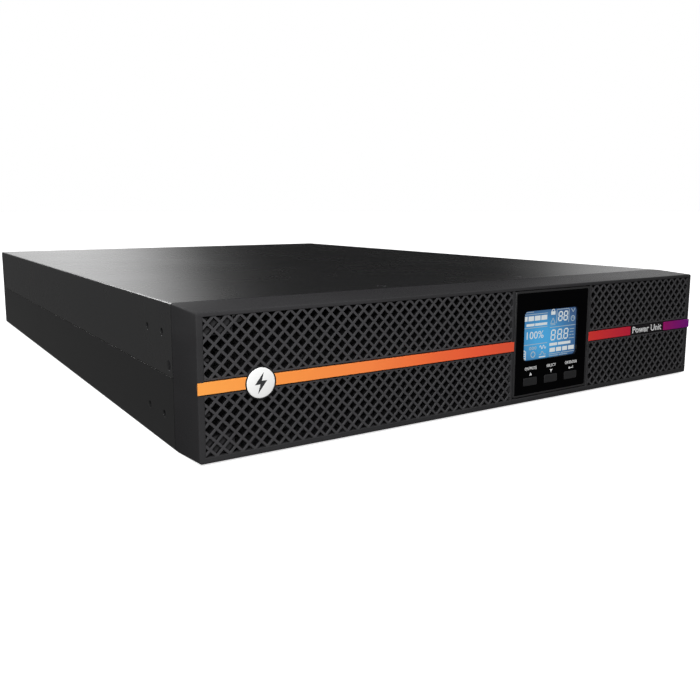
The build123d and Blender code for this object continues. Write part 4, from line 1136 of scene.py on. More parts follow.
def add_key(name, body, key, key_z, key_look):
    """One key: a cushioned top, its flange and its stem."""
    x = (key[0] + key[1]) / 2
    front = key[2]
    bm = bmesh.new()
    levels = ((1.2, 0.0), (0.5, 0.03), (0.15, 0.22), (0.0, 0.5), (0.0, 2.1))
    loops = [
        loop(bm, rounded(x - 6.8 + i, x + 6.8 - i, key_z - 3 + i, key_z + 3 - i, 0.9), front + y)
        for i, y in levels
    ]
    for one, other in zip(loops, loops[1:]):
        skin(bm, one, other)
    cap(bm, loops[0])
    cap(bm, loops[-1])
    plate(bm, rounded(key[0], key[1], key[4], key[5], 1.0), front + 2.1, front + 3.1)
    turned(bm, (x, front + 3.0, key_z), (0, 1, 0), [(0, 1.5), (key[3] - front - 3.0, 1.5)], 20)
    piece(f"{name}_key", to_mesh(bm, name), key_look, body, [name], 0.08)


def add_screen(display, window):
    """The lit glass and everything shown on it."""
    x0, x1, y0, y1, z0, z1 = span("lcd_module")
    glow = look(
        "screen_glow", lit_screen, tuple(display.backlight), display.brightness, window[0], window[1],
        window[2], window[3],
    )
    frame_look = look("screen_frame", metal_plating, (0.03, 0.03, 0.03), 0.5)
    bm = bmesh.new()
    view = rounded(window[0] - 1.5, window[1] + 2.5, window[2] - 1.5, window[3] + 1.5, 1.0)
    plate(bm, rounded(x0, x1, z0, z1, 1.0), y0, y1 - 0.1, [view])
    frame_mesh = to_mesh(bm, "screen_frame")
    piece("screen_frame", frame_mesh, frame_look, "display", ["lcd_module"], 0.1)
    bm = bmesh.new()
    glass = y0 + 0.12
    plate(bm, view, glass, y1 - 0.2)
    piece("screen_glass", to_mesh(bm, "screen_glass"), glow, "display")

    near, far = y0 + 0.04, glass + 0.02
    white = look("screen_white", lit_mark, (0.84, 0.90, 0.92), 0.66)
    dim = look("screen_dim", lit_mark, (0.50, 0.62, 0.70), 0.6)
    bright_bm, dim_bm = bmesh.new(), bmesh.new()
    dx, dz = SCREEN_SHIFT

    def block(bm, x_pair, z_pair):
        points = [
            (x_pair[0] + dx, z_pair[0] + dz), (x_pair[1] + dx, z_pair[0] + dz),
            (x_pair[1] + dx, z_pair[1] + dz), (x_pair[0] + dx, z_pair[1] + dz),
        ]
        plate(bm, points, near, far)

    for x_pair in ((22.9, 27.3), (28.2, 33.7), (34.6, 40.3), (41.2, 47.2)):
        block(bright_bm, x_pair, (60.0, 63.4))
    for x_pair in ((26.5, 34.4), (35.2, 47.4)):
        block(bright_bm, x_pair, (56.2, 58.0))
    for x_pair in ((50.6, 58.6), (59.6, 73.0)):
        block(bright_bm, x_pair, (40.2, 42.2))
    for x_pair in ((51.0, 56.6), (57.8, 63.2), (64.4, 69.6), (70.8, 77.0)):
        block(bright_bm, x_pair, (35.6, 38.6))
    for x_pair, z in (
        ((22.6, 33.4), 66.3), ((22.6, 47.6), 64.7), ((22.6, 47.8), 55.0), ((22.6, 48.2), 43.0),
        ((50.4, 77.4), 53.8), ((50.4, 62.0), 34.2), ((63.0, 77.0), 34.2), ((50.6, 60.0), 32.9),
        ((61.0, 70.0), 32.9), ((57.4, 70.0), 66.4), ((71.6, 76.4), 51.0), ((72.2, 76.0), 48.9),
        ((71.4, 73.4), 46.6), ((74.2, 76.4), 46.6), ((71.0, 76.8), 44.2),
    ):
        block(dim_bm, x_pair, (z - 0.22, z + 0.22))
    for x in (57.0, 69.9):
        block(dim_bm, (x, x + 0.5), (56.4, 66.2))
    for x in (58.6, 64.2):
        seven_segments(bright_bm, x + dx, 57.6 + dz, 4.6, 7.4, 1.0, near, far)
    for x in (51.4, 58.2, 64.9):
        seven_segments(bright_bm, x + dx, 44.0 + dz, 4.9, 8.0, 0.95, near, far)
    plate(bright_bm, circle(63.9 + dx, 44.5 + dz, 0.5, 12), near, far)
    add_icons(bright_bm, dim_bm, near, far)
    piece("screen_marks", to_mesh(bright_bm, "marks"), white, "display")
    piece("screen_lines", to_mesh(dim_bm, "lines"), dim, "display")
    words = lettering("100%", 7.6, 35.6 + dx, 49.3 + dz, near + 0.03, 17.0, 0.06)
    piece("screen_level", words, white, "display")


def add_icons(bright_bm, dim_bm, near, far):
    """The small signs round the figures."""
    dx, dz = SCREEN_SHIFT

    def at(points):
        return [(x + dx, z + dz) for x, z in points]

    plate(bright_bm, at([(51.2, 62.9), (55.6, 62.9), (55.6, 65.4), (51.2, 65.4)]), near, far)
    ring_mark(bright_bm, 53.4 + dx, 65.5 + dz, 1.7, 1.1, near, far)
    triangle = [(51.0, 56.6), (55.8, 56.6), (53.4, 60.6)]
    line_mark(dim_bm, at(triangle + triangle[:1]), 0.5, near, far)
    line_mark(dim_bm, at([(51.0, 55.6), (56.0, 55.6)]), 0.45, near, far)
    ring_mark(dim_bm, 74.6 + dx, 58.8 + dz, 2.2, 1.6, near, far)
    line_mark(dim_bm, at([(74.6, 60.4), (74.6, 58.8), (75.8, 58.8)]), 0.4, near, far)
    line_mark(dim_bm, at([(72.6, 66.2), (74.6, 63.6), (76.6, 66.2)]), 0.5, near, far)
    for x in (31.0, 33.6, 36.2):
        ring_mark(dim_bm, x + dx, 40.2 + dz, 1.15, 0.65, near, far, 14)
    wave = [(40.6 + i * 0.45, 40.2 + 1.3 * math.sin(i * 0.9)) for i in range(15)]
    line_mark(bright_bm, at(wave), 0.5, near, far)
    ring_mark(dim_bm, 34.0 + dx, 35.6 + dz, 2.4, 1.95, near, far)
    diamond = [(34.0, 38.0), (36.4, 35.6), (34.0, 33.2), (31.6, 35.6), (34.0, 38.0)]
    line_mark(dim_bm, at(diamond), 0.35, near, far)
    pulse = [(40.2, 34.8), (42.0, 34.8), (43.0, 37.2), (44.2, 36.4), (45.2, 34.8), (47.2, 34.8)]
    line_mark(dim_bm, at(pulse), 0.5, near, far)
    line_mark(bright_bm, at([(40.2, 33.1), (46.8, 33.1)]), 0.8, near, far)
    shell = [(23.2, 32.6), (26.6, 32.6), (26.6, 38.4), (23.2, 38.4), (23.2, 32.6)]
    line_mark(bright_bm, at(shell), 0.5, near, far)
    for z in (33.6, 35.2, 36.8):
        line_mark(bright_bm, at([(23.8, z), (26.0, z)]), 0.9, near, far)
    line_mark(bright_bm, at([(24.2, 39.0), (25.6, 39.0)]), 0.8, near, far)


def add_lens_print(key_x):
    """The words and signs above the keys."""
    white = look("lens_print", printed_white, (0.86, 0.86, 0.86))
    front = LENS[2]
    labels = (("ON/MUTE", 12.0), ("SELECT", 9.6), ("OK/ENTER", 13.0))
    meshes = [
        lettering(text, 2.9, x, 25.8, front - 0.01, wide, 0.05, 0.05)
        for (text, wide), x in zip(labels, key_x)
    ]
    bm = bmesh.new()
    near, far = front - 0.03, front + 0.02
    x = key_x[0]
    plate(bm, [(x - 1.4, 20.7), (x + 1.4, 20.7), (x, 23.0)], near, far)
    x = key_x[1]
    plate(bm, [(x - 1.4, 23.0), (x + 1.4, 23.0), (x, 20.7)], near, far)
    x = key_x[2]
    line_mark(bm, [(x + 2.2, 23.2), (x + 2.2, 21.6), (x - 1.2, 21.6)], 0.55, near, far)
    plate(bm, [(x - 2.6, 21.6), (x - 1.0, 20.6), (x - 1.0, 22.6)], near, far)
    meshes.append(to_mesh(bm, "signs"))
    piece("lens_words", joined("lens_words", meshes), white, "display")


class POWERUNIT_OT_display(bpy.types.Operator):
    """Build the display module with its screen and keys"""

    bl_idname = "powerunit.display"
    bl_label = "Display module"

    def execute(self, context):
        build_display()
        return {"FINISHED"}


# ------------------------------------------------------------------ surfaces of the inner parts
def sheet_zinc(name, colour, roughness=0.34):
    """Galvanised sheet: flat crystals with soft edges under fine rolling lines."""
    surface = Surface(name, roughness, 0.95)
    spangle = surface.cells(95.0, "Color")
    grey = surface.nodes.new("ShaderNodeRGBToBW")
    surface.links.new(spangle, grey.inputs[0])
    rolling = surface.noise(1.0, 3.0, 0.6, surface.stretched((40.0, 900.0, 40.0)))
    tone = surface.ramp(grey.outputs[0], [(0.2, shade(colour, 0.78)), (0.8, shade(colour, 1.12))])
    surface.colour(surface.mixed(surface.span(rolling, 0.4, 0.7, 0.0, 0.25), tone, shade(colour, 0.6)))
    surface.roughness(surface.span(grey.outputs[0], 0.2, 0.8, roughness - 0.08, roughness + 0.12))
    return surface.bump([(rolling, 0.01, 0.2)]).material


def circuit_board(name, colour):
    """Solder mask over copper tracks, with tinned pads."""
    surface = Surface(name, 0.38, Specular_IOR_Level=0.5)
    tracks = surface.cells(190.0, "Distance", distance="MANHATTAN", feature="F1")
    edges = surface.cells(95.0, "Distance", distance="CHEBYCHEV", feature="F2")
    pads = surface.cells(240.0, "Distance")
    line = surface.ramp(tracks, [(0.42, shade(colour, 0.8)), (0.46, shade(colour, 1.7)), (0.62, colour)])
    plane = surface.mixed(surface.span(edges, 0.5, 0.54, 0.0, 0.5), line, shade(colour, 0.6))
    dots = surface.span(pads, 0.10, 0.14, 1.0, 0.0)
    surface.colour(surface.mixed(dots, plane, (0.55, 0.53, 0.48)))
    surface.roughness(surface.span(pads, 0.10, 0.14, 0.22, 0.42))
    return surface.bump([(tracks, 0.03, 0.3), (pads, 0.04, 0.2)]).material


def banded(name, colour, other, pitch, letter="X", roughness=0.5, metallic=0.0, depth=0.1):
    """Fine bands across one axis, such as wires side by side or stacked sheets."""
    surface = Surface(name, roughness, metallic, Specular_IOR_Level=0.4)
    place = surface.math("MULTIPLY", surface.axis(letter), math.tau / (pitch * MM))
    wave = surface.math("SINE", place, 0.0)
    drift = surface.noise(160.0, 3.0)
    tone = surface.ramp(surface.span(wave, -1.0, 1.0, 0.0, 1.0), [(0.1, other), (0.55, colour)])
    surface.colour(surface.mixed(surface.span(drift, 0.35, 0.7, 0.0, 0.3), tone, shade(colour, 0.6)))
    surface.roughness(surface.span(drift, 0.3, 0.7, roughness - 0.05, roughness + 0.08))
    return surface.bump([(wave, depth, 0.6), (drift, 0.02, 0.2)]).material


def webbing(name, colour):
    """Woven strap: ribs along its length crossed by a finer weft."""
    surface = Surface(name, 0.75, Specular_IOR_Level=0.25, Sheen_Weight=0.2)
    ribs = surface.math("SINE", surface.math("MULTIPLY", surface.axis("Y"), math.tau / 0.0016), 0.0)
    weft = surface.math("SINE", surface.math("MULTIPLY", surface.axis("X"), math.tau / 0.0011), 0.0)
    weave = surface.math("MULTIPLY", ribs, weft)
    fuzz = surface.noise(1800.0, 3.0)
    tone = surface.ramp(surface.span(weave, -1.0, 1.0, 0.0, 1.0), [(0.1, shade(colour, 0.55)), (0.8, colour)])
    surface.colour(surface.mixed(surface.span(fuzz, 0.4, 0.7, 0.0, 0.3), tone, shade(colour, 1.6)))
    surface.roughness(surface.span(fuzz, 0.3, 0.7, 0.68, 0.85))
    return surface.bump([(weave, 0.25, 0.8), (fuzz, 0.05, 0.3)]).material


def shrink_sleeve(name, colour, base):
    """A printed sleeve with a pale stripe of dashes down one side."""
    surface = Surface(name, 0.3, Specular_IOR_Level=0.5, Coat_Weight=0.2)
    dash = surface.math("SINE", surface.math("MULTIPLY", surface.axis("Z"), math.tau / 0.007), 0.0)
    rows = surface.math("SINE", surface.math("MULTIPLY", surface.axis("Y"), math.tau / 0.036), 0.0)
    print_area = surface.math(
        "MULTIPLY", surface.span(dash, 0.0, 0.15, 0.0, 1.0), surface.span(rows, 0.93, 0.96, 0.0, 1.0),
    )
    wrinkle = surface.noise(150.0, 4.0)
    tone = surface.ramp(wrinkle, [(0.3, shade(colour, 0.8)), (0.7, shade(colour, 1.15))])
    surface.colour(surface.mixed(print_area, tone, base))
    surface.roughness(surface.span(wrinkle, 0.3, 0.7, 0.24, 0.4))
    return surface.bump([(wrinkle, 0.05, 0.3)]).material


def fitting_plastic():
    return look("fitting_plastic", moulded_plastic, (0.016, 0.016, 0.017), 0.42)


def fan_plastic():
    return look("fan_plastic", moulded_plastic, (0.012, 0.012, 0.0125), 0.36)


def zinc():
    return look("zinc_sheet", sheet_zinc, (0.50, 0.51, 0.52))


def bright_steel():
    return look("bright_steel", metal_plating, (0.52, 0.52, 0.53), 0.3)


def brass():
    return look("brass_contact", metal_plating, (0.66, 0.47, 0.19), 0.3)


# ------------------------------------------------------------------ pieces of the inside and the back
def wire_tree():
    """Turns the edges of a mesh into round wires."""
    inputs = [("Radius", "Float"), ("Sides", "Int"), ("Material", "Material")]
    tree, source, sink = node_tree("Wires Along Edges", inputs)
    link = tree.links.new
    path = add_node(tree, "GeometryNodeMeshToCurve")
    round_section = add_node(tree, "GeometryNodeCurvePrimitiveCircle", mode="RADIUS")
    tube = add_node(tree, "GeometryNodeCurveToMesh")
    link(source.outputs["Geometry"], path.inputs["Mesh"])
    link(source.outputs["Sides"], round_section.inputs["Resolution"])
    link(source.outputs["Radius"], round_section.inputs["Radius"])
    link(path.outputs["Curve"], tube.inputs["Curve"])
    link(round_section.outputs["Curve"], tube.inputs["Profile Curve"])
    tube.inputs["Fill Caps"].default_value = True
    finish_tree(tree, source, sink, tube.outputs["Mesh"])
    return tree


def wires(paths, radius, material, sides=10):
    """Round wires along paths given as (points, closed)."""
    tree = bpy.data.node_groups.get("Wires Along Edges") or wire_tree()
    points, edges = [], []
    for path, closed in paths:
        first = len(points)
        points += [[v * MM for v in point] for point in path]
        edges += [(i, i + 1) for i in range(first, len(points) - 1)]
        if closed:
            edges.append((len(points) - 1, first))
    start = bpy.data.meshes.new("paths")
    start.from_pydata(points, edges, [])
    return grown(tree, start, {"Radius": radius * MM, "Sides": sides, "Material": material})


def keyed(wide, high, corner):
    """A rectangle with its two upper corners cut off, about the origin."""
    w, h = wide / 2, high / 2
    if not corner:
        return [(-w, -h), (w, -h), (w, h), (-w, h)]
    return [(-w, -h), (w, -h), (w, h - corner), (w - corner, h), (corner - w, h), (-w, h - corner)]


def box_outline(wide, high, radius):
    return rounded(-wide / 2, wide / 2, -high / 2, high / 2, radius)


def fitting(flange, body, deep, mouth, mouth_deep, core=None, pits=(), pit_deep=8.0, lip=1.6):
    """A moulded rear fitting about the origin of X and Z: flange, body, cavity and a core with pits."""
    front = PANEL_OUT + lip
    bm = bmesh.new()
    chamfer = 0.4
    rim = loop(bm, box_outline(flange[0] - 2 * chamfer, flange[1] - 2 * chamfer, 1.0), front)
    rim_side = loop(bm, box_outline(flange[0], flange[1], 1.4), front - chamfer)
    rim_back = loop(bm, box_outline(flange[0], flange[1], 1.4), PANEL_OUT)
    neck = loop(bm, box_outline(body[0], body[1], 0.8), PANEL_OUT)
    tail = loop(bm, box_outline(body[0], body[1], 0.8), PANEL_OUT - deep)
    entry = loop(bm, mouth, front)
    floor = loop(bm, mouth, front - mouth_deep)
    cap(bm, rim, [entry])
    skin(bm, rim, rim_side)
    skin(bm, rim_side, rim_back)
    cap(bm, rim_back, [neck])
    skin(bm, neck, tail)
    cap(bm, tail)
    skin(bm, entry, floor)
    if core:
        core_outline, core_front = core
        core_top = loop(bm, core_outline, core_front)
        core_foot = loop(bm, core_outline, front - mouth_deep)
        cap(bm, floor, [core_foot])
        skin(bm, core_foot, core_top)
        tops = [loop(bm, pit, core_front) for pit in pits]
        bottoms = [loop(bm, pit, core_front - pit_deep) for pit in pits]
        cap(bm, core_top, tops)
        for top, bottom in zip(tops, bottoms):
            skin(bm, top, bottom)
            cap(bm, bottom)
    else:
        cap(bm, floor)
    return to_mesh(bm, "fitting")


def slot_outlines(slots):
    return [rounded(x - w / 2, x + w / 2, z - h / 2, z + h / 2, 0.35, 2) for x, z, w, h in slots]


def leaf_contacts(slots, front):
    """Two sprung leaves in each contact slot."""
    bm = bmesh.new()
    for x, z, w, h in slots:
        for side in (-1, 1):
            if w < h:
                slab(
                    bm, (x + side * 0.45, x + side * (w / 2 - 0.1)), (front - 7, front - 1.6),
                    (z - h / 2 + 0.3, z + h / 2 - 0.3),
                )
            else:
                slab(
                    bm, (x - w / 2 + 0.3, x + w / 2 - 0.3), (front - 7, front - 1.6),
                    (z + side * 0.45, z + side * (h / 2 - 0.1)),
                )
    return to_mesh(bm, "leaves")


def cross_headed(profile, reach, depth, top):
    """A round screw along Y with a cross recess; profile runs from its tip to its top."""
    bm = bmesh.new()
    turned(bm, (0, 0, 0), (0, 1, 0), profile, 24)
    screw = to_mesh(bm, "screw")
    for wide, high in ((reach, 0.35), (0.35, reach)):
        bm = bmesh.new()
        matrix = Matrix.Translation((0, top, 0)) @ Matrix.Diagonal((wide, depth, high, 1))
        bmesh.ops.create_cube(bm, size=2.0, matrix=matrix)
        screw = drilled(screw, to_mesh(bm, "cross"))
    return screw


def build_rear():
    plastic = fitting_plastic()
    front = PANEL_OUT + 1.6
    outlet_x = [span("small_outlets")[0] + 15 + 34 * n for n in range(3)]
    outlet_z = (24.0, 60.0)
    slots = [(-7.0, -1.8, 2.2, 4.4), (7.0, -1.8, 2.2, 4.4), (0.0, 1.8, 2.2, 4.4)]
    unit = fitting(
        (30, 25), (26, 21), 22, keyed(24.6, 17.4, 5.0), 16, (keyed(19.2, 12.0, 3.6), front),
        slot_outlines(slots), 12,
    )
    places = [(x, 0.0, z) for x in outlet_x for z in outlet_z]
    mesh = copies(unit, places, plastic)
    piece("small_outlet_bodies", mesh, plastic, "chassis", ["small_outlets"], 0.15)
    leaves = copies(leaf_contacts(slots, front), places, brass())
    piece("small_outlet_contacts", leaves, brass(), "chassis")

    large = span("large_outlet")
    x, z = (large[0] + large[1]) / 2, (large[4] + large[5]) / 2
    slots = [(-8.0, -4.0, 7.4, 2.4), (8.0, -4.0, 7.4, 2.4), (0.0, 4.0, 7.4, 2.4)]
    unit = fitting(
        (38, 31), (34, 27), 24, keyed(32.4, 24.4, 0), 16, (keyed(26.6, 18.6, 0), front), slot_outlines(slots),
        12,
    )
    mesh = copies(unit, [(x, 0.0, z)], plastic)
    piece("large_outlet_body", mesh, plastic, "chassis", ["large_outlet"], 0.15)
    leaves = copies(leaf_contacts(slots, front), [(x, 0.0, z)], brass())
    piece("large_outlet_contacts", leaves, brass(), "chassis")

    inlet = span("power_inlet")
    x, z = (inlet[0] + inlet[1]) / 2, (inlet[4] + inlet[5]) / 2
    unit = fitting((38, 31), (34, 27), 24, box_outline(31.6, 23.6, 2.0), 19)
    mesh = copies(unit, [(x, 0.0, z)], plastic)
    piece("power_inlet_shroud", mesh, plastic, "chassis", ["power_inlet"], 0.15)
    bm = bmesh.new()
    for dx, dz in ((-8.0, -4.0), (8.0, -4.0), (0.0, 4.0)):
        blade = [box_outline(7.4 - 2 * i, 2.0 - 2 * i, 0.3) for i in (0.0, 0.0, 0.5)]
        rings = [
            loop(bm, [(x + dx + a, z + dz + b) for a, b in ring], y)
            for ring, y in zip(blade, (front - 19.4, PANEL_OUT - 2.9, PANEL_OUT - 2.0))
        ]
        skin(bm, rings[0], rings[1])
        skin(bm, rings[1], rings[2])
        cap(bm, rings[0])
        cap(bm, rings[2])
    piece("power_inlet_pins", to_mesh(bm, "pins"), bright_steel(), "chassis")
    add_ports(plastic)
    add_screws()


def add_ports(plastic):
    """The data sockets, the terminal strip and the battery connector's contacts."""
    front = PANEL_OUT + 1.6
    ports = span("signal_ports")
    steel = bright_steel()
    usb_x, usb_z = ports[0] + 6.2, 36.0
    serial_x, serial_z = ports[1] - 15.5, ports[5] - 6.3
    strip_x, strip_z = 30.0, ports[4] + 6.0
    unit = fitting((12.4, 13.4), (10, 11), 14, keyed(8.4, 9.2, 1.6), 9.6)
    mesh = copies(unit, [(usb_x, 0.0, usb_z)], steel)
    piece("data_socket_shell", mesh, steel, "chassis", ["signal_ports"], 0.12)
    bm = bmesh.new()
    tongue = [(usb_x + a, usb_z + b) for a, b in box_outline(5.2, 3.2, 0.2)]
    plate(bm, tongue, PANEL_OUT - 8.1, PANEL_OUT)
    piece("data_socket_tongue", to_mesh(bm, "tongue"), plastic, "chassis", [], 0.1)

    trapezium = [(-8.6, 4.1), (-7.2, -4.1), (7.2, -4.1), (8.6, 4.1)]
    unit = fitting((31, 12.6), (22, 11), 12, trapezium, 6.4)
    mesh = copies(unit, [(serial_x, 0.0, serial_z)], steel)
    piece("serial_socket_shell", mesh, steel, "chassis", [], 0.12)
    pins = [(2.77 * (n - 2), 1.42) for n in range(5)] + [(2.77 * (n - 1.5), -1.42) for n in range(4)]
    core = [(serial_x + a * 0.9, serial_z + b * 0.8) for a, b in trapezium]
    holes = [circle(serial_x + a, serial_z + b, 0.6, 14) for a, b in pins]
    piece(
        "serial_socket_core", drawn(plate, core, PANEL_OUT - 5.0, PANEL_OUT + 1.0, holes), plastic, "chassis",
        [], 0.08,
    )
    posts = copies(
        drawn(
            turned, (0, 0, 0), (0, 1, 0),
            [(-0.2, 2.7), (1.7, 2.7), (2.0, 2.4), (2.0, 1.2), (0.4, 1.2), (0.4, 0)], 6,
        ),
        [(serial_x + side * 12.6, front, serial_z) for side in (-1, 1)], steel,
    )
    piece("serial_socket_posts", posts, steel, "chassis", [], 0.1)

    green = look("terminal_plastic", moulded_plastic, (0.015, 0.16, 0.045), 0.4)
    openings = [rounded(dx - 1.9, dx + 1.9, -3.6, 1.6, 0.3, 2) for dx in (-7.2, -2.4, 2.4, 7.2)]
    sinks = [circle(dx, 3.9, 1.3, 16) for dx in (-7.2, -2.4, 2.4, 7.2)]
    bm = bmesh.new()
    plate(bm, box_outline(22, 12, 0.6), PANEL_OUT, front, openings + sinks)
    plate(bm, box_outline(20, 10, 0.4), PANEL_OUT - 8, PANEL_OUT + 0.1, openings)
    plate(bm, box_outline(20, 10, 0.4), PANEL_OUT - 14, PANEL_OUT - 7.9)
    mesh = copies(to_mesh(bm, "strip"), [(strip_x, 0.0, strip_z)], green)
    piece("terminal_strip", mesh, green, "chassis", [], 0.1)
    heads = [(strip_x + dx, PANEL_OUT + 0.2, strip_z + 3.9) for dx in (-7.2, -2.4, 2.4, 7.2)]
    piece(
        "terminal_screws",
        copies(
            drawn(turned, (0, 0, 0), (0, 1, 0), [(0, 0), (0, 1.2), (0.5, 1.2), (0.6, 1.05), (0.6, 0)], 16),
            heads, steel,
        ),
        steel, "chassis",
    )

    link = span("battery_port")
    x, z = (link[0] + link[1]) / 2, (link[4] + link[5]) / 2
    places = [(x + dx, 0.0, z + 3.4) for dx in (-7.2, 7.2)]
    mesh = copies(
        drawn(plate, box_outline(7.0, 2.2, 0.4), PANEL_OUT - 18, PANEL_OUT - 3.6), places, bright_steel(),
    )
    piece("battery_port_contacts", mesh, bright_steel(), "chassis", [], 0.1)


def add_screws():
    steel = bright_steel()
    profile = [
        (-12, 0), (-12, 1.1), (-11.5, 1.5), (0, 1.5), (0, 3.0), (0.65, 3.0), (1.2, 2.5), (1.55, 1.5), (1.6, 0),
    ]
    screw = cross_headed(profile, 1.7, 0.75, 1.65)
    cover = span("slot_cover")
    cover_z = (cover[4] + cover[5]) / 2
    places = [
        (x + dx, PANEL_OUT + 2.0, z + dz, 0.0, 0.5 * n, 0.0)
        for n, (x, z) in enumerate(FANS)
        for dx in (-35.75, 35.75)
        for dz in (-35.75, 35.75)
    ]
    places += [(x, PANEL_OUT + 1.2, cover_z, 0.0, 0.9, 0.0) for x in (cover[0] + 4.5, cover[1] - 4.5)]
    places.append((-133.0, PANEL_OUT, 41.0, 0.0, 0.2, 0.0))
    mesh = copies(screw, places, steel)
    piece("panel_screws_pan", mesh, steel, "chassis", ["panel_screws"])


class POWERUNIT_OT_rear(bpy.types.Operator):
    """Build the outlets, inlet, ports and screws of the back"""

    bl_idname = "powerunit.rear"
    bl_label = "Rear fittings"

    def execute(self, context):
        build_rear()
        return {"FINISHED"}


def build_fans():
    plastic = fan_plastic()
    for number, (x, z) in enumerate(FANS, 1):
        add_fan_frame(number, x, z, plastic)
        add_fan_rotor(number, x, z, plastic)
    add_fan_guards()


def add_fan_frame(number, x, z, plastic):
    _, _, y0, y1, _, _ = span(f"fan_frame_{number}")
    corners = [(x + dx, z + dz) for dx in (-35.75, 35.75) for dz in (-35.75, 35.75)]
    outline = rounded(x - 40, x + 40, z - 40, z + 40, 4.0)
    holes = [circle(x, z, 38.0, 72)] + [circle(*corner, 2.1, 16) for corner in corners]
    bm = bmesh.new()
    plate(bm, outline, y0, y0 + 4, holes)
    plate(bm, outline, y1 - 4, y1, holes)
    plate(bm, circle(x, z, 39.5, 72), y0 + 3.9, y1 - 3.9, [circle(x, z, 38.0, 72)])
    for corner in corners:
        plate(bm, circle(*corner, 3.6, 20), y0 + 3.9, y1 - 3.9, [circle(*corner, 2.1, 20)])
    plate(bm, circle(x, z, 17.5, 56), y0, y0 + 2.6)
    for turn in (45, 135, 225, 315):
        angle = math.radians(turn)
        along = Vector((math.cos(angle), math.sin(angle)))
        across = Vector((-along.y, along.x)) * (2.6 if turn == 225 else 1.8)
        ends = [along * 17.0, along * 38.4]
        quad = [ends[0] - across, ends[1] - across, ends[1] + across, ends[0] + across]
        plate(bm, [(x + p.x, z + p.y) for p in quad], y0 + 0.2, y0 + 2.8)
    mesh = to_mesh(bm, "fan_frame")
    name = f"fan_frame_{number}"
    piece(f"{name}_moulding", mesh, plastic, "chassis", [name], 0.25)


def add_fan_rotor(number, x, z, plastic):
    name = f"fan_rotor_{number}"
    _, _, y0, y1, _, _ = span(name)
    deep = y1 - y0
    bm = bmesh.new()
    profile = [
        (0, 0), (0, 16.2), (0.4, 16.5), (deep - 2.2, 16.5), (deep - 0.8, 15.9), (deep, 14.4), (deep, 13.2),
        (deep - 0.25, 13.0), (deep - 0.25, 0),
    ]
    turned(bm, (x, y0, z), (0, 1, 0), profile, 56)
    hub = to_mesh(bm, "hub")
    bm = bmesh.new()
    rows, columns = 7, 8
    sides = []
    for side in (-1, 1):
        grid = []
        for i in range(rows + 1):
            share = i / rows
            radius = 16.2 + 20.2 * share
            start = 0.1 + 0.32 * share**1.4
            wide = 0.80 - 0.08 * share
            row = []
            for j in range(columns + 1):
                chord = j / columns
                angle = start + wide * chord
                lift = 2.4 + (deep - 5.2) * chord + (1.5 - share) * math.sin(math.pi * chord)
                thick = (0.75 - 0.3 * share) * math.sqrt(
                    max(0.06, math.sin(math.pi * min(1, chord * 0.9 + 0.08)))
                )
                row.append(
                    bm.verts.new((radius * math.cos(angle), y0 + lift + side * thick, radius * math.sin(angle)))
                )
            grid.append(row)
        sides.append(grid)
    for grid in sides:
        for i in range(rows):
            for j in range(columns):
                bm.faces.new((grid[i][j], grid[i + 1][j], grid[i + 1][j + 1], grid[i][j + 1]))
    low, high = sides
    rim = [(i, 0) for i in range(rows)] + [(rows, j) for j in range(columns)]
    rim += [(i, columns) for i in range(rows, 0, -1)] + [(0, j) for j in range(columns, 0, -1)]
    for (a, b), (c, d) in zip(rim, rim[1:] + rim[:1]):
        bm.faces.new((low[a][b], low[c][d], high[c][d], high[a][b]))
    blade = to_mesh(bm, "blade")
    blades = copies(blade, [(x, 0.0, z, 0.0, math.tau * n / 7, 0.0) for n in range(7)], plastic)
    mesh = joined(name, [hub, blades])
    piece(f"{name}_blades", mesh, plastic, f"rotor_{number}", [name])
    paper = look("hub_label", printed_white, (0.42, 0.43, 0.44))
    piece(
        f"{name}_label",
        drawn(turned, (x, y1 - 0.3, z), (0, 1, 0), [(0, 0), (0, 12.4), (0.12, 12.4), (0.12, 0)], 48), paper,
        f"rotor_{number}",
    )


def add_fan_guards():
    guard = span("fan_guards")
    y = (guard[2] + guard[3]) / 2
    wire = 0.78
    steel = look("guard_wire", metal_plating, (0.46, 0.46, 0.47), 0.28)
    paths = []
    for x, z in FANS:
        for radius in (38.5, 32.0, 25.0, 18.0, 11.0):
            ring = [(a, y, b) for a, b in circle(x, z, radius, 72)]
            paths.append((ring, True))
        for turn in (45, 135, 225, 315):
            angle = math.radians(turn)
            cos, sin = math.cos(angle), math.sin(angle)
            reach = 35.75 * math.sqrt(2) - 2.9
            spoke = [(x + r * cos, y, z + r * sin) for r in (10.2, 25.0, reach)]
            paths.append((spoke, False))
            eye = circle(x + math.copysign(35.75, cos), z + math.copysign(35.75, sin), 2.9, 20)
            paths.append(([(a, y, b) for a, b in eye], True))
    mesh = wires(paths, wire, steel, 8)
    piece("fan_guard_wires", mesh, steel, "chassis", ["fan_guards"])


class POWERUNIT_OT_fans(bpy.types.Operator):
    """Build the two fans with their guards"""

    bl_idname = "powerunit.fans"
    bl_label = "Fans"

    def execute(self, context):
        build_fans()
        return {"FINISHED"}


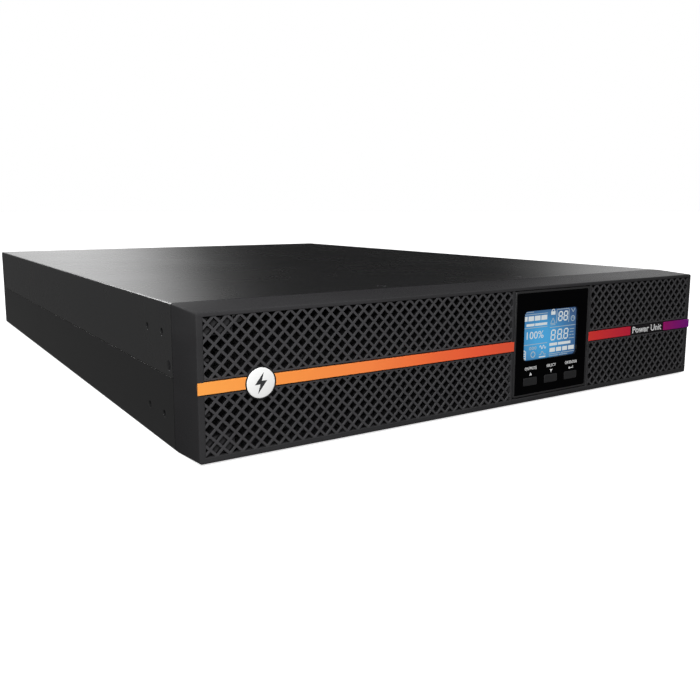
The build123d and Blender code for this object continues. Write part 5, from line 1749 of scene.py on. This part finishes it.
def build_drawer():
    shell = look("battery_case", moulded_plastic, (0.052, 0.054, 0.058), 0.5)
    lid_look = look("battery_lid", moulded_plastic, (0.034, 0.035, 0.038), 0.45)
    lids, labels, tabs, wells = [], [], [], []
    for number in range(1, 7):
        name = f"battery_{number}"
        x0, x1, y0, y1, z0, z1 = span(name)
        side = -1 if number < 4 else 1
        lid = x1 - 5.0 if side < 0 else x0 + 5.0
        base = x0 if side < 0 else x1
        bm = bmesh.new()
        slab(bm, (lid + side * 9.0, base), (y0 + 0.6, y1 - 0.6), (z0, z1 - 0.6))
        for dy in (-50.0, 0.0, 50.0):
            y = (y0 + y1) / 2 + dy
            slab(bm, (lid + side * 18.0, base + side * 0.0), (y - 20, y + 20), (z1 - 0.8, z1 - 0.35))
        piece(f"{name}_case", to_mesh(bm, name), shell, "drawer", [name], 0.5)
        bm = bmesh.new()
        slab(bm, (lid, lid + side * 8.7), (y0, y1), (z0, z1))
        slab(bm, (lid, lid - side * 0.35), (y0 + 30, y1 - 30), (z0 + 20, z1 - 20))
        lids.append(to_mesh(bm, "lid"))
        bm = bmesh.new()
        middle = (y0 + y1) / 2
        for dy in (-62.0, 62.0):
            y, z = middle + dy, (z0 + z1) / 2
            slab(bm, (lid + side * 1.0, lid - side * 4.9), (y - 0.4, y + 0.4), (z - 3.1, z + 3.1))
            wells.append((lid, y, z, side))
        tabs.append(to_mesh(bm, "tab"))
    piece("battery_lids", joined("lids", lids), lid_look, "drawer", [], 0.6)
    tin = look("battery_tabs", metal_plating, (0.62, 0.6, 0.55), 0.32)
    piece("battery_tabs", joined("tabs", tabs), tin, "drawer", [], 0.1)
    bm = bmesh.new()
    for lid, y, z, side in wells:
        turned(
            bm, (lid + side * 0.2, y, z), (-side, 0, 0),
            [(0, 0), (0, 6.4), (0.5, 6.2), (0.5, 5.0), (0.3, 4.8), (0.3, 0)], 28,
        )
    piece("battery_terminal_seats", to_mesh(bm, "seats"), shell, "drawer")
    add_leads(wells)
    add_handle()


def add_leads(wells):
    """The two rails of cable between the columns, with a push-on clip at every tab."""
    links = span("battery_links")
    middle = (links[0] + links[1]) / 2
    red = look("lead_red", moulded_plastic, (0.42, 0.012, 0.010), 0.38)
    black = look("lead_black", moulded_plastic, (0.012, 0.012, 0.013), 0.4)
    clip = look("clip_plastic", moulded_plastic, (0.30, 0.30, 0.28), 0.35)
    for name, side, z, material, slot in (
        ("battery_leads_plus", -1, 46.5, red, "lead_red"),
        ("battery_leads_minus", 1, 26.5, black, "black_plastic"),
    ):
        rail = [(middle, y, z) for y in (links[2] + 1.8, -190.0, -60.0, 70.0, links[3])]
        paths = [(rail, False)]
        mesh = wires(paths, 1.75, material, 14)
        own = [well for well in wells if well[3] == side]
        drops = []
        for lid, y, tab_z, _ in own:
            drop = [
                (middle, y - 0.3, z), (middle + side * 0.35, y - 0.1, (2 * z + tab_z) / 3),
                (middle + side * 0.5, y, (z + 2 * tab_z) / 3), (middle + side * 0.5, y, tab_z),
            ]
            drops.append((drop, False))
        tails = wires(drops, 0.85, material, 10)
        replaced = ["battery_links"] if side < 0 else []
        piece(name, joined(name, [mesh, tails]), material, "drawer", replaced)
    bm = bmesh.new()
    for lid, y, z, side in wells:
        outer = lid - side * 1.0
        inner = middle + side * 0.25
        low, high = sorted((outer, inner))
        for pair in ((y - 1.45, y - 0.5), (y + 0.5, y + 1.45)):
            slab(bm, (low, high), pair, (z - 3.7, z + 3.7))
        for pair in ((z - 3.7, z - 3.2), (z + 3.2, z + 3.7)):
            slab(bm, (low, high), (y - 0.6, y + 0.6), pair)
    piece("battery_clips", to_mesh(bm, "clips"), clip, "drawer", [], 0.1)


def add_handle():
    """The bail handle and the two thumbscrews of the drawer's front."""
    x0, x1, y0, y1, z0, z1 = span("tray_handle")
    z = (z0 + z1) / 2
    left, right, grip = x0 + 6.0, x1 - 6.0, y0 + 3.0
    bend = 7.0
    path = [(left, y1 - 0.1, z)]
    for cx, start in ((left + bend, 180.0), (right - bend, 270.0)):
        for step in range(8):
            angle = math.radians(start + 90 * step / 7)
            path.append((cx + bend * math.cos(angle), grip + bend + bend * math.sin(angle), z))
    path.append((right, y1 - 0.1, z))
    grip_look = look("handle_plastic", moulded_plastic, (0.018, 0.018, 0.019), 0.45)
    bar = wires([(path, False)], 2.95, grip_look, 20)
    bm = bmesh.new()
    for x in (left, right):
        profile = [(0, 0), (0, 5.9), (0.8, 5.9), (1.3, 5.4), (1.9, 3.6), (1.9, 0)]
        turned(bm, (x, y1, z), (0, -1, 0), profile, 32)
    mesh = joined("handle", [bar, to_mesh(bm, "feet")])
    piece("tray_handle_bail", mesh, grip_look, "drawer", ["tray_handle"])

    screws = span("tray_screws")
    bm = bmesh.new()
    seat = screws[2] + 3.0
    turned(
        bm, (0, 0, 0), (0, -1, 0),
        [
            (-5.5, 0), (-5.5, 1.1), (-5.0, 1.5), (0, 1.5), (0, 3.6), (0.3, 3.9), (2.6, 3.9), (2.95, 3.5),
            (2.95, 0),
        ],
        40,
    )
    for i, vertex in enumerate(v for v in bm.verts if abs(v.co.x**2 + v.co.z**2 - 3.9**2) < 0.05):
        if i % 2:
            vertex.co.x *= 0.965
            vertex.co.z *= 0.965
    thumb = to_mesh(bm, "thumb")
    thumb = drilled(thumb, drawn(slab, (-3.0, 3.0), (-3.2, -2.0), (-0.5, 0.5)))
    height = (screws[4] + screws[5]) / 2
    places = [(x, seat, height, 0.0, turn, 0.0) for x, turn in ((screws[0] + 4, 0.3), (screws[1] - 4, 1.1))]
    mesh = copies(thumb, places, bright_steel())
    piece("tray_thumbscrews", mesh, bright_steel(), "drawer", ["tray_screws"], 0, 30)


class POWERUNIT_OT_drawer(bpy.types.Operator):
    """Build the batteries, their leads and the handle of the drawer"""

    bl_idname = "powerunit.drawer"
    bl_label = "Battery drawer"

    def execute(self, context):
        build_drawer()
        return {"FINISHED"}


def build_electronics():
    board = span("main_board")
    top = board[5]
    copper = look("choke_copper", metal_plating, (0.50, 0.19, 0.07), 0.3)
    ferrite = look("choke_core", moulded_plastic, (0.05, 0.075, 0.035), 0.5)
    middles = [(56.0, -190.0), (56.0, -128.0), (146.0, -178.0)]
    bm = bmesh.new()
    for x, y in middles:
        profile = [(0, 0), (0, 21.0), (1.6, 21.0), (2.0, 20.6), (2.0, 0)]
        turned(bm, (x, y, top), (0, 0, 1), profile, 40)
    seats = to_mesh(bm, "seats")
    cores = wires(
        [([(x + a, y + b, top + 10.0) for a, b in circle(0, 0, 20.0, 56)], True) for x, y in middles], 7.6,
        ferrite, 20,
    )
    piece("choke_cores", joined("cores", [seats, cores]), ferrite, "chassis")
    paths = []
    for x, y in middles:
        coil = []
        turns, steps = 34, 11
        for n in range(turns * steps):
            around = math.tau * n / (turns * steps)
            over = math.tau * n / steps
            radius = 20.0 + 8.45 * math.cos(over)
            coil.append(
                (
                    x + radius * math.cos(around), y + radius * math.sin(around),
                    top + 10.0 + 8.45 * math.sin(over),
                )
            )
        paths.append((coil, True))
    piece("choke_windings", wires(paths, 0.95, copper, 6), copper, "chassis", ["chokes"])

    sleeve = look("capacitor_sleeve", shrink_sleeve, (0.012, 0.045, 0.20), (0.62, 0.64, 0.66))
    places = [(x, y, top) for x in (104.0, 190.0) for y in (-150.0, -114.0)]
    places += [(190.0, y, top) for y in (-60.0, -24.0, 12.0, 48.0)]
    bm = bmesh.new()
    profile = [
        (0, 0), (0, 14.2), (0.6, 14.9), (3.4, 15), (4.0, 14.2), (4.8, 14.2), (5.4, 15), (44.4, 15),
        (45.6, 14.5), (46, 13.8), (46, 13.0), (45.3, 12.7), (45.3, 0),
    ]
    turned(bm, (0, 0, 0), (0, 0, 1), profile, 36)
    mesh = copies(to_mesh(bm, "can"), places, sleeve)
    piece("capacitor_cans", mesh, sleeve, "chassis", ["bus_capacitors"])
    aluminium = look("capacitor_top", metal_plating, (0.62, 0.62, 0.63), 0.35)
    bm = bmesh.new()
    turned(bm, (0, 0, 45.25), (0, 0, 1), [(0, 0), (0, 12.6), (0.3, 12.5), (0.3, 0)], 36)
    disc = to_mesh(bm, "disc")
    for turn in (0, 60, 120):
        bm = bmesh.new()
        matrix = Matrix.Translation((0, 0, 45.6)) @ Matrix.Rotation(math.radians(turn), 4, "Z")
        matrix = matrix @ Matrix.Diagonal((8.5, 0.35, 0.2, 1))
        bmesh.ops.create_cube(bm, size=2.0, matrix=matrix)
        disc = drilled(disc, to_mesh(bm, "vent"))
    tops = copies(disc, places, aluminium)
    piece("capacitor_tops", tops, aluminium, "chassis")
    add_transformers(top)
    add_small_parts(top)


def add_transformers(top):
    laminated = look(
        "laminated_core", banded, (0.13, 0.13, 0.135), (0.03, 0.03, 0.032), 0.9, "Y", 0.4, 0.7, 0.08,
    )
    tape = look("coil_tape", moulded_plastic, (0.50, 0.33, 0.035), 0.35)
    bobbin = look("bobbin_plastic", moulded_plastic, (0.02, 0.02, 0.021), 0.45)
    cores, coils, flanges = bmesh.new(), bmesh.new(), bmesh.new()
    for x in (64.0, 160.0):
        low, high = top + 4.0, top + 46.0
        window = [rounded(x - 15 + i * 15.5, x - 0.5 + i * 15.5, low + 7, high - 7, 0.6) for i in (0, 1)]
        plate(cores, rounded(x - 22, x + 22, low, high, 0.8), 162.5, 187.5, window)
        for y0, y1 in ((150.0, 162.0), (188.0, 200.0)):
            plate(cores, rounded(x - 22, x + 22, low, high, 0.8), y0, y1)
        plate(coils, rounded(x - 25.6, x + 25.6, top + 0.6, top + 49.4, 6.0), 164.0, 186.0)
        for y0, y1 in ((162.2, 164.0), (186.0, 187.8)):
            plate(flanges, rounded(x - 26, x + 26, top, top + 50, 2.0), y0, y1)
    piece("transformer_cores", to_mesh(cores, "cores"), laminated, "chassis", ["transformer"], 0.3)
    piece("transformer_coils", to_mesh(coils, "coils"), tape, "chassis", [], 0.8)
    piece("transformer_bobbins", to_mesh(flanges, "bobbins"), bobbin, "chassis", [], 0.3)


def add_small_parts(top):
    """Relays, film capacitors, small cans and a control card."""
    epoxy = look("relay_black", moulded_plastic, (0.014, 0.014, 0.015), 0.35)
    film = look("film_yellow", moulded_plastic, (0.42, 0.27, 0.02), 0.4)
    for name, size, places, material, slot in (
        (
            "board_relays", (16.0, 22.0, 17.0), [(104.0, y, top) for y in (-84.0, -56.0, -28.0, 0.0)], epoxy,
            "semiconductor",
        ),
        (
            "film_capacitors", (10.0, 26.0, 18.0), [(30.0, y, top) for y in (-60.0, -26.0, 8.0, 42.0)], film,
            "core_dark",
        ),
    ):
        bm = bmesh.new()
        slab(bm, (-size[0] / 2, size[0] / 2), (-size[1] / 2, size[1] / 2), (0, size[2]))
        bmesh.ops.bevel(bm, geom=bm.edges[:], offset=0.9, segments=2, affect="EDGES", profile=0.5)
        mesh = copies(to_mesh(bm, name), places, material)
        piece(name, mesh, material, "chassis")
    sleeve = look("small_can_sleeve", shrink_sleeve, (0.012, 0.012, 0.014), (0.5, 0.5, 0.5))
    bm = bmesh.new()
    profile = [
        (0, 0), (0, 3.9), (0.3, 4.0), (1.6, 3.7), (2.2, 4.0), (12.4, 4.0), (13.0, 3.5), (13.0, 3.0), (12.7, 0),
    ]
    turned(bm, (0, 0, 0), (0, 0, 1), profile, 20)
    scatter = random.Random(7)
    places = [
        (x + scatter.uniform(-1, 1), y + scatter.uniform(-1, 1), top)
        for x in (100.0, 112.0, 124.0)
        for y in (142.0, 156.0, 170.0, 184.0, 198.0)
    ]
    mesh = copies(to_mesh(bm, "small_can"), places, sleeve)
    piece("small_cans", mesh, sleeve, "chassis")
    card = look("control_card", circuit_board, (0.008, 0.03, 0.075))
    bm = bmesh.new()
    slab(bm, (96.0, 114.0), (38.0, 39.6), (top, top + 44))
    slab(bm, (94.0, 114.0), (70.0, 71.6), (top, top + 44))
    piece("control_cards", to_mesh(bm, "cards"), card, "chassis", [], 0.1)
    bm = bmesh.new()
    for y in (39.6, 71.6):
        slab(bm, (98.0, 110.0), (y - 0.1, y + 1.4), (top + 18, top + 30))
        for n in range(4):
            slab(bm, (97.0 + 4 * n, 99.4 + 4 * n), (y - 0.1, y + 0.9), (top + 34, top + 38))
    piece("card_chips", to_mesh(bm, "chips"), epoxy, "chassis", [], 0.12)


class POWERUNIT_OT_electronics(bpy.types.Operator):
    """Build the parts that stand on the main board"""

    bl_idname = "powerunit.electronics"
    bl_label = "Electronics"

    def execute(self, context):
        build_electronics()
        return {"FINISHED"}


def build_finishes():
    # The front plate and the tray take black paint far darker than the case's: their own black, and painted
    # shade behind the lattice.
    black_paint_and_painted_shade = look("inner_paint", powder_coat, (0.003, 0.003, 0.0033), 0.6)
    plastic = fitting_plastic()
    green = look("board_mask", circuit_board, (0.008, 0.085, 0.028))
    finishes = {
        "front_plate": black_paint_and_painted_shade, "rear_panel": case_paint(), "slot_cover": case_paint(),
        "battery_bay": zinc(), "battery_tray": black_paint_and_painted_shade,
        "ear_nuts": look("blackened_steel", metal_plating, (0.05, 0.05, 0.055), 0.42),
        "ball_catches": look("catch_plastic", moulded_plastic, (0.02, 0.02, 0.022), 0.4),
        "ball_studs": look("stud_plastic", moulded_plastic, (0.028, 0.028, 0.03), 0.3),
        "battery_strap": look("strap_webbing", webbing, (0.025, 0.025, 0.027)),
        "drawer_plug": look("plug_plastic", moulded_plastic, (0.05, 0.05, 0.053), 0.4),
        "drawer_socket": plastic,
        "battery_port": look("port_plastic", moulded_plastic, (0.035, 0.036, 0.04), 0.42),
        "breaker_body": plastic,
        "breaker_button": look("reset_plastic", gloss_plastic, (0.014, 0.014, 0.015), 0.2),
        "display_board": green, "main_board": green,
        "display_ribbon": look("ribbon_wires", banded, (0.30, 0.31, 0.32), (0.10, 0.10, 0.11), 1.27, "X", 0.45),
        "tact_switches": look("switch_plastic", moulded_plastic, (0.03, 0.03, 0.032), 0.35),
        "heatsinks": look(
            "sink_aluminium", banded, (0.50, 0.51, 0.52), (0.40, 0.41, 0.42), 0.5, "Z", 0.35, 0.95, 0.01,
        ),
        "power_transistors": look("transistor_epoxy", moulded_plastic, (0.012, 0.012, 0.013), 0.5),
    }
    for node, material in finishes.items():
        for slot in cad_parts[node].material_slots:
            slot.material = material
    plain = (0.05, 0.05, 0.052)
    stand_in = look("hidden_solid", moulded_plastic, plain, 0.5)
    for node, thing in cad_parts.items():
        if node not in finishes:
            for slot in thing.material_slots:
                slot.material = stand_in


class POWERUNIT_OT_finishes(bpy.types.Operator):
    """Give every part that keeps its solid shape its own finish"""

    bl_idname = "powerunit.finishes"
    bl_label = "Finishes of the solid parts"

    def execute(self, context):
        build_finishes()
        return {"FINISHED"}


def build_stage():
    stage = settings("power_stage")
    scene = bpy.context.scene
    scene.view_settings.view_transform = "Standard"
    bm = bmesh.new()
    bmesh.ops.create_circle(bm, cap_ends=True, radius=30.0, segments=64)
    mesh = bpy.data.meshes.new("floor")
    bm.to_mesh(mesh)
    bm.free()
    floor = bpy.data.objects.new("floor", mesh)
    scene.collection.objects.link(floor)
    mesh.materials.append(floor_material(tuple(stage.floor)))
    floor.visible_glossy = False
    floor.visible_diffuse = False
    add_sky(scene)
    sun = bpy.data.lights.new("overhead", "SUN")
    sun.energy = stage.overhead
    sun.angle = math.radians(80)
    light = bpy.data.objects.new("overhead", sun)
    light.rotation_euler = Vector((0.1, 0.2, -0.97)).to_track_quat("-Z", "Y").to_euler()
    scene.collection.objects.link(light)
    for name, place, aim, size, power in (
        ("fold_light", (-0.47, 1.47, 0.78), (-0.219, -0.3, 0.086), 0.35, 3.5),
        ("front_softbox", (-0.42, -0.78, 0.42), (0.0, -0.31, 0.04), 0.4, stage.softbox),
    ):
        data = bpy.data.lights.new(name, "AREA")
        data.shape = "SQUARE"
        data.size = size
        data.energy = power
        light = bpy.data.objects.new(name, data)
        light.location = place
        direction = Vector(aim) - Vector(place)
        light.rotation_euler = direction.to_track_quat("-Z", "Y").to_euler()
        light.visible_camera = False
        scene.collection.objects.link(light)
    data = bpy.data.cameras.new("camera")
    data.lens = stage.lens
    data.sensor_width = 36.0
    data.shift_x, data.shift_y = 0.0128, -0.0452
    data.clip_start, data.clip_end = 0.01, 100.0
    camera = bpy.data.objects.new("camera", data)
    camera.location = stage.camera_place
    camera.rotation_euler = (math.pi / 2 - stage.dip, 0.0, -stage.heading)
    scene.collection.objects.link(camera)
    scene.camera = camera


def add_sky(scene):
    """White to the eye; to the surfaces, a studio with bright and dark sides."""
    world = bpy.data.worlds.new("studio")
    scene.world = world
    world.use_nodes = True
    nodes, links = world.node_tree.nodes, world.node_tree.links
    background = nodes["Background"]
    place = nodes.new("ShaderNodeTexCoord")
    split = nodes.new("ShaderNodeSeparateXYZ")
    links.new(place.outputs["Generated"], split.inputs[0])
    turn = nodes.new("ShaderNodeMath")
    turn.operation = "ARCTAN2"
    links.new(split.outputs["X"], turn.inputs[0])
    links.new(split.outputs["Y"], turn.inputs[1])
    part = nodes.new("ShaderNodeMapRange")
    part.inputs["From Min"].default_value = -math.pi
    part.inputs["From Max"].default_value = math.pi
    links.new(turn.outputs[0], part.inputs["Value"])
    ramp = nodes.new("ShaderNodeValToRGB")
    elements = ramp.color_ramp.elements
    stops = [
        (-180, 0.12), (-150, 0.12), (-90, 0.20), (-40, 0.14), (-25, 0.12), (-10, 0.09), (-3, 0.06), (5, 1.2),
        (12, 1.45), (16, 1.1), (19, 0.55), (22, 0.11), (26, 0.01), (30, 0.004), (45, 0.004), (48, 0.12),
        (51, 0.55), (56, 0.95), (63, 1.0), (80, 0.9), (105, 0.5), (120, 0.01), (150, 0.01), (180, 0.12),
    ]
    while len(elements) < len(stops):
        elements.new(0.5)
    for element, (angle, grey) in zip(elements, stops):
        element.position = (angle + 180) / 360
        element.color = (grey / 2, grey / 2, grey / 2, 1.0)
    links.new(part.outputs["Result"], ramp.inputs["Fac"])
    path = nodes.new("ShaderNodeLightPath")
    choice = nodes.new("ShaderNodeMix")
    choice.data_type = "RGBA"
    choice.inputs[7].default_value = (0.5, 0.5, 0.5, 1.0)
    links.new(path.outputs["Is Camera Ray"], choice.inputs[0])
    links.new(ramp.outputs["Color"], choice.inputs[6])
    links.new(choice.outputs[2], background.inputs["Color"])
    background.inputs["Strength"].default_value = 2.0


class POWERUNIT_OT_stage(bpy.types.Operator):
    """Set the floor, the lights and the camera"""

    bl_idname = "powerunit.stage"
    bl_label = "Floor, light and camera"

    def execute(self, context):
        build_stage()
        return {"FINISHED"}


def floor_material(colour):
    """Pale seamless paper."""
    surface = Surface("seamless_paper", 0.9, Specular_IOR_Level=0.1)
    fibre = surface.noise(220.0, 4.0)
    paper = surface.ramp(fibre, [(0.3, shade(colour, 0.985)), (0.7, colour)])
    surface.colour(paper)
    surface.links.new(paper, surface.shader.inputs["Emission Color"])
    surface.shader.inputs["Emission Strength"].default_value = 0.8
    return surface.bump([(fibre, 0.05, 0.1)]).material


class POWERUNIT_PT_build(bpy.types.Panel):
    """Sidebar list of the pieces and their settings"""

    bl_label = "Power unit"
    bl_idname = "POWERUNIT_PT_build"
    bl_space_type = "VIEW_3D"
    bl_region_type = "UI"
    bl_category = "Power Unit"

    def draw(self, context):
        column = self.layout.column()
        for operator in OPERATORS:
            column.operator(operator.bl_idname)
        for name, group in SETTINGS.items():
            values = getattr(context.scene, name)
            for key in group.__annotations__:
                column.prop(values, key)


OPERATORS = (
    POWERUNIT_OT_stage, POWERUNIT_OT_case, POWERUNIT_OT_bezel, POWERUNIT_OT_display, POWERUNIT_OT_drawer,
    POWERUNIT_OT_electronics, POWERUNIT_OT_fans, POWERUNIT_OT_rear, POWERUNIT_OT_finishes,
)


def register():
    for group in SETTINGS.values():
        bpy.utils.register_class(group)
    for name, group in SETTINGS.items():
        setattr(bpy.types.Scene, name, PointerProperty(type=group))
    for operator in OPERATORS:
        bpy.utils.register_class(operator)
    bpy.utils.register_class(POWERUNIT_PT_build)


def unregister():
    bpy.utils.unregister_class(POWERUNIT_PT_build)
    for operator in reversed(OPERATORS):
        bpy.utils.unregister_class(operator)
    for name, group in SETTINGS.items():
        delattr(bpy.types.Scene, name)
        bpy.utils.unregister_class(group)


def main():
    register()
    for operator in OPERATORS:
        family, action = operator.bl_idname.split(".")
        getattr(getattr(bpy.ops, family), action)()


if __name__ == "__main__":
    main()
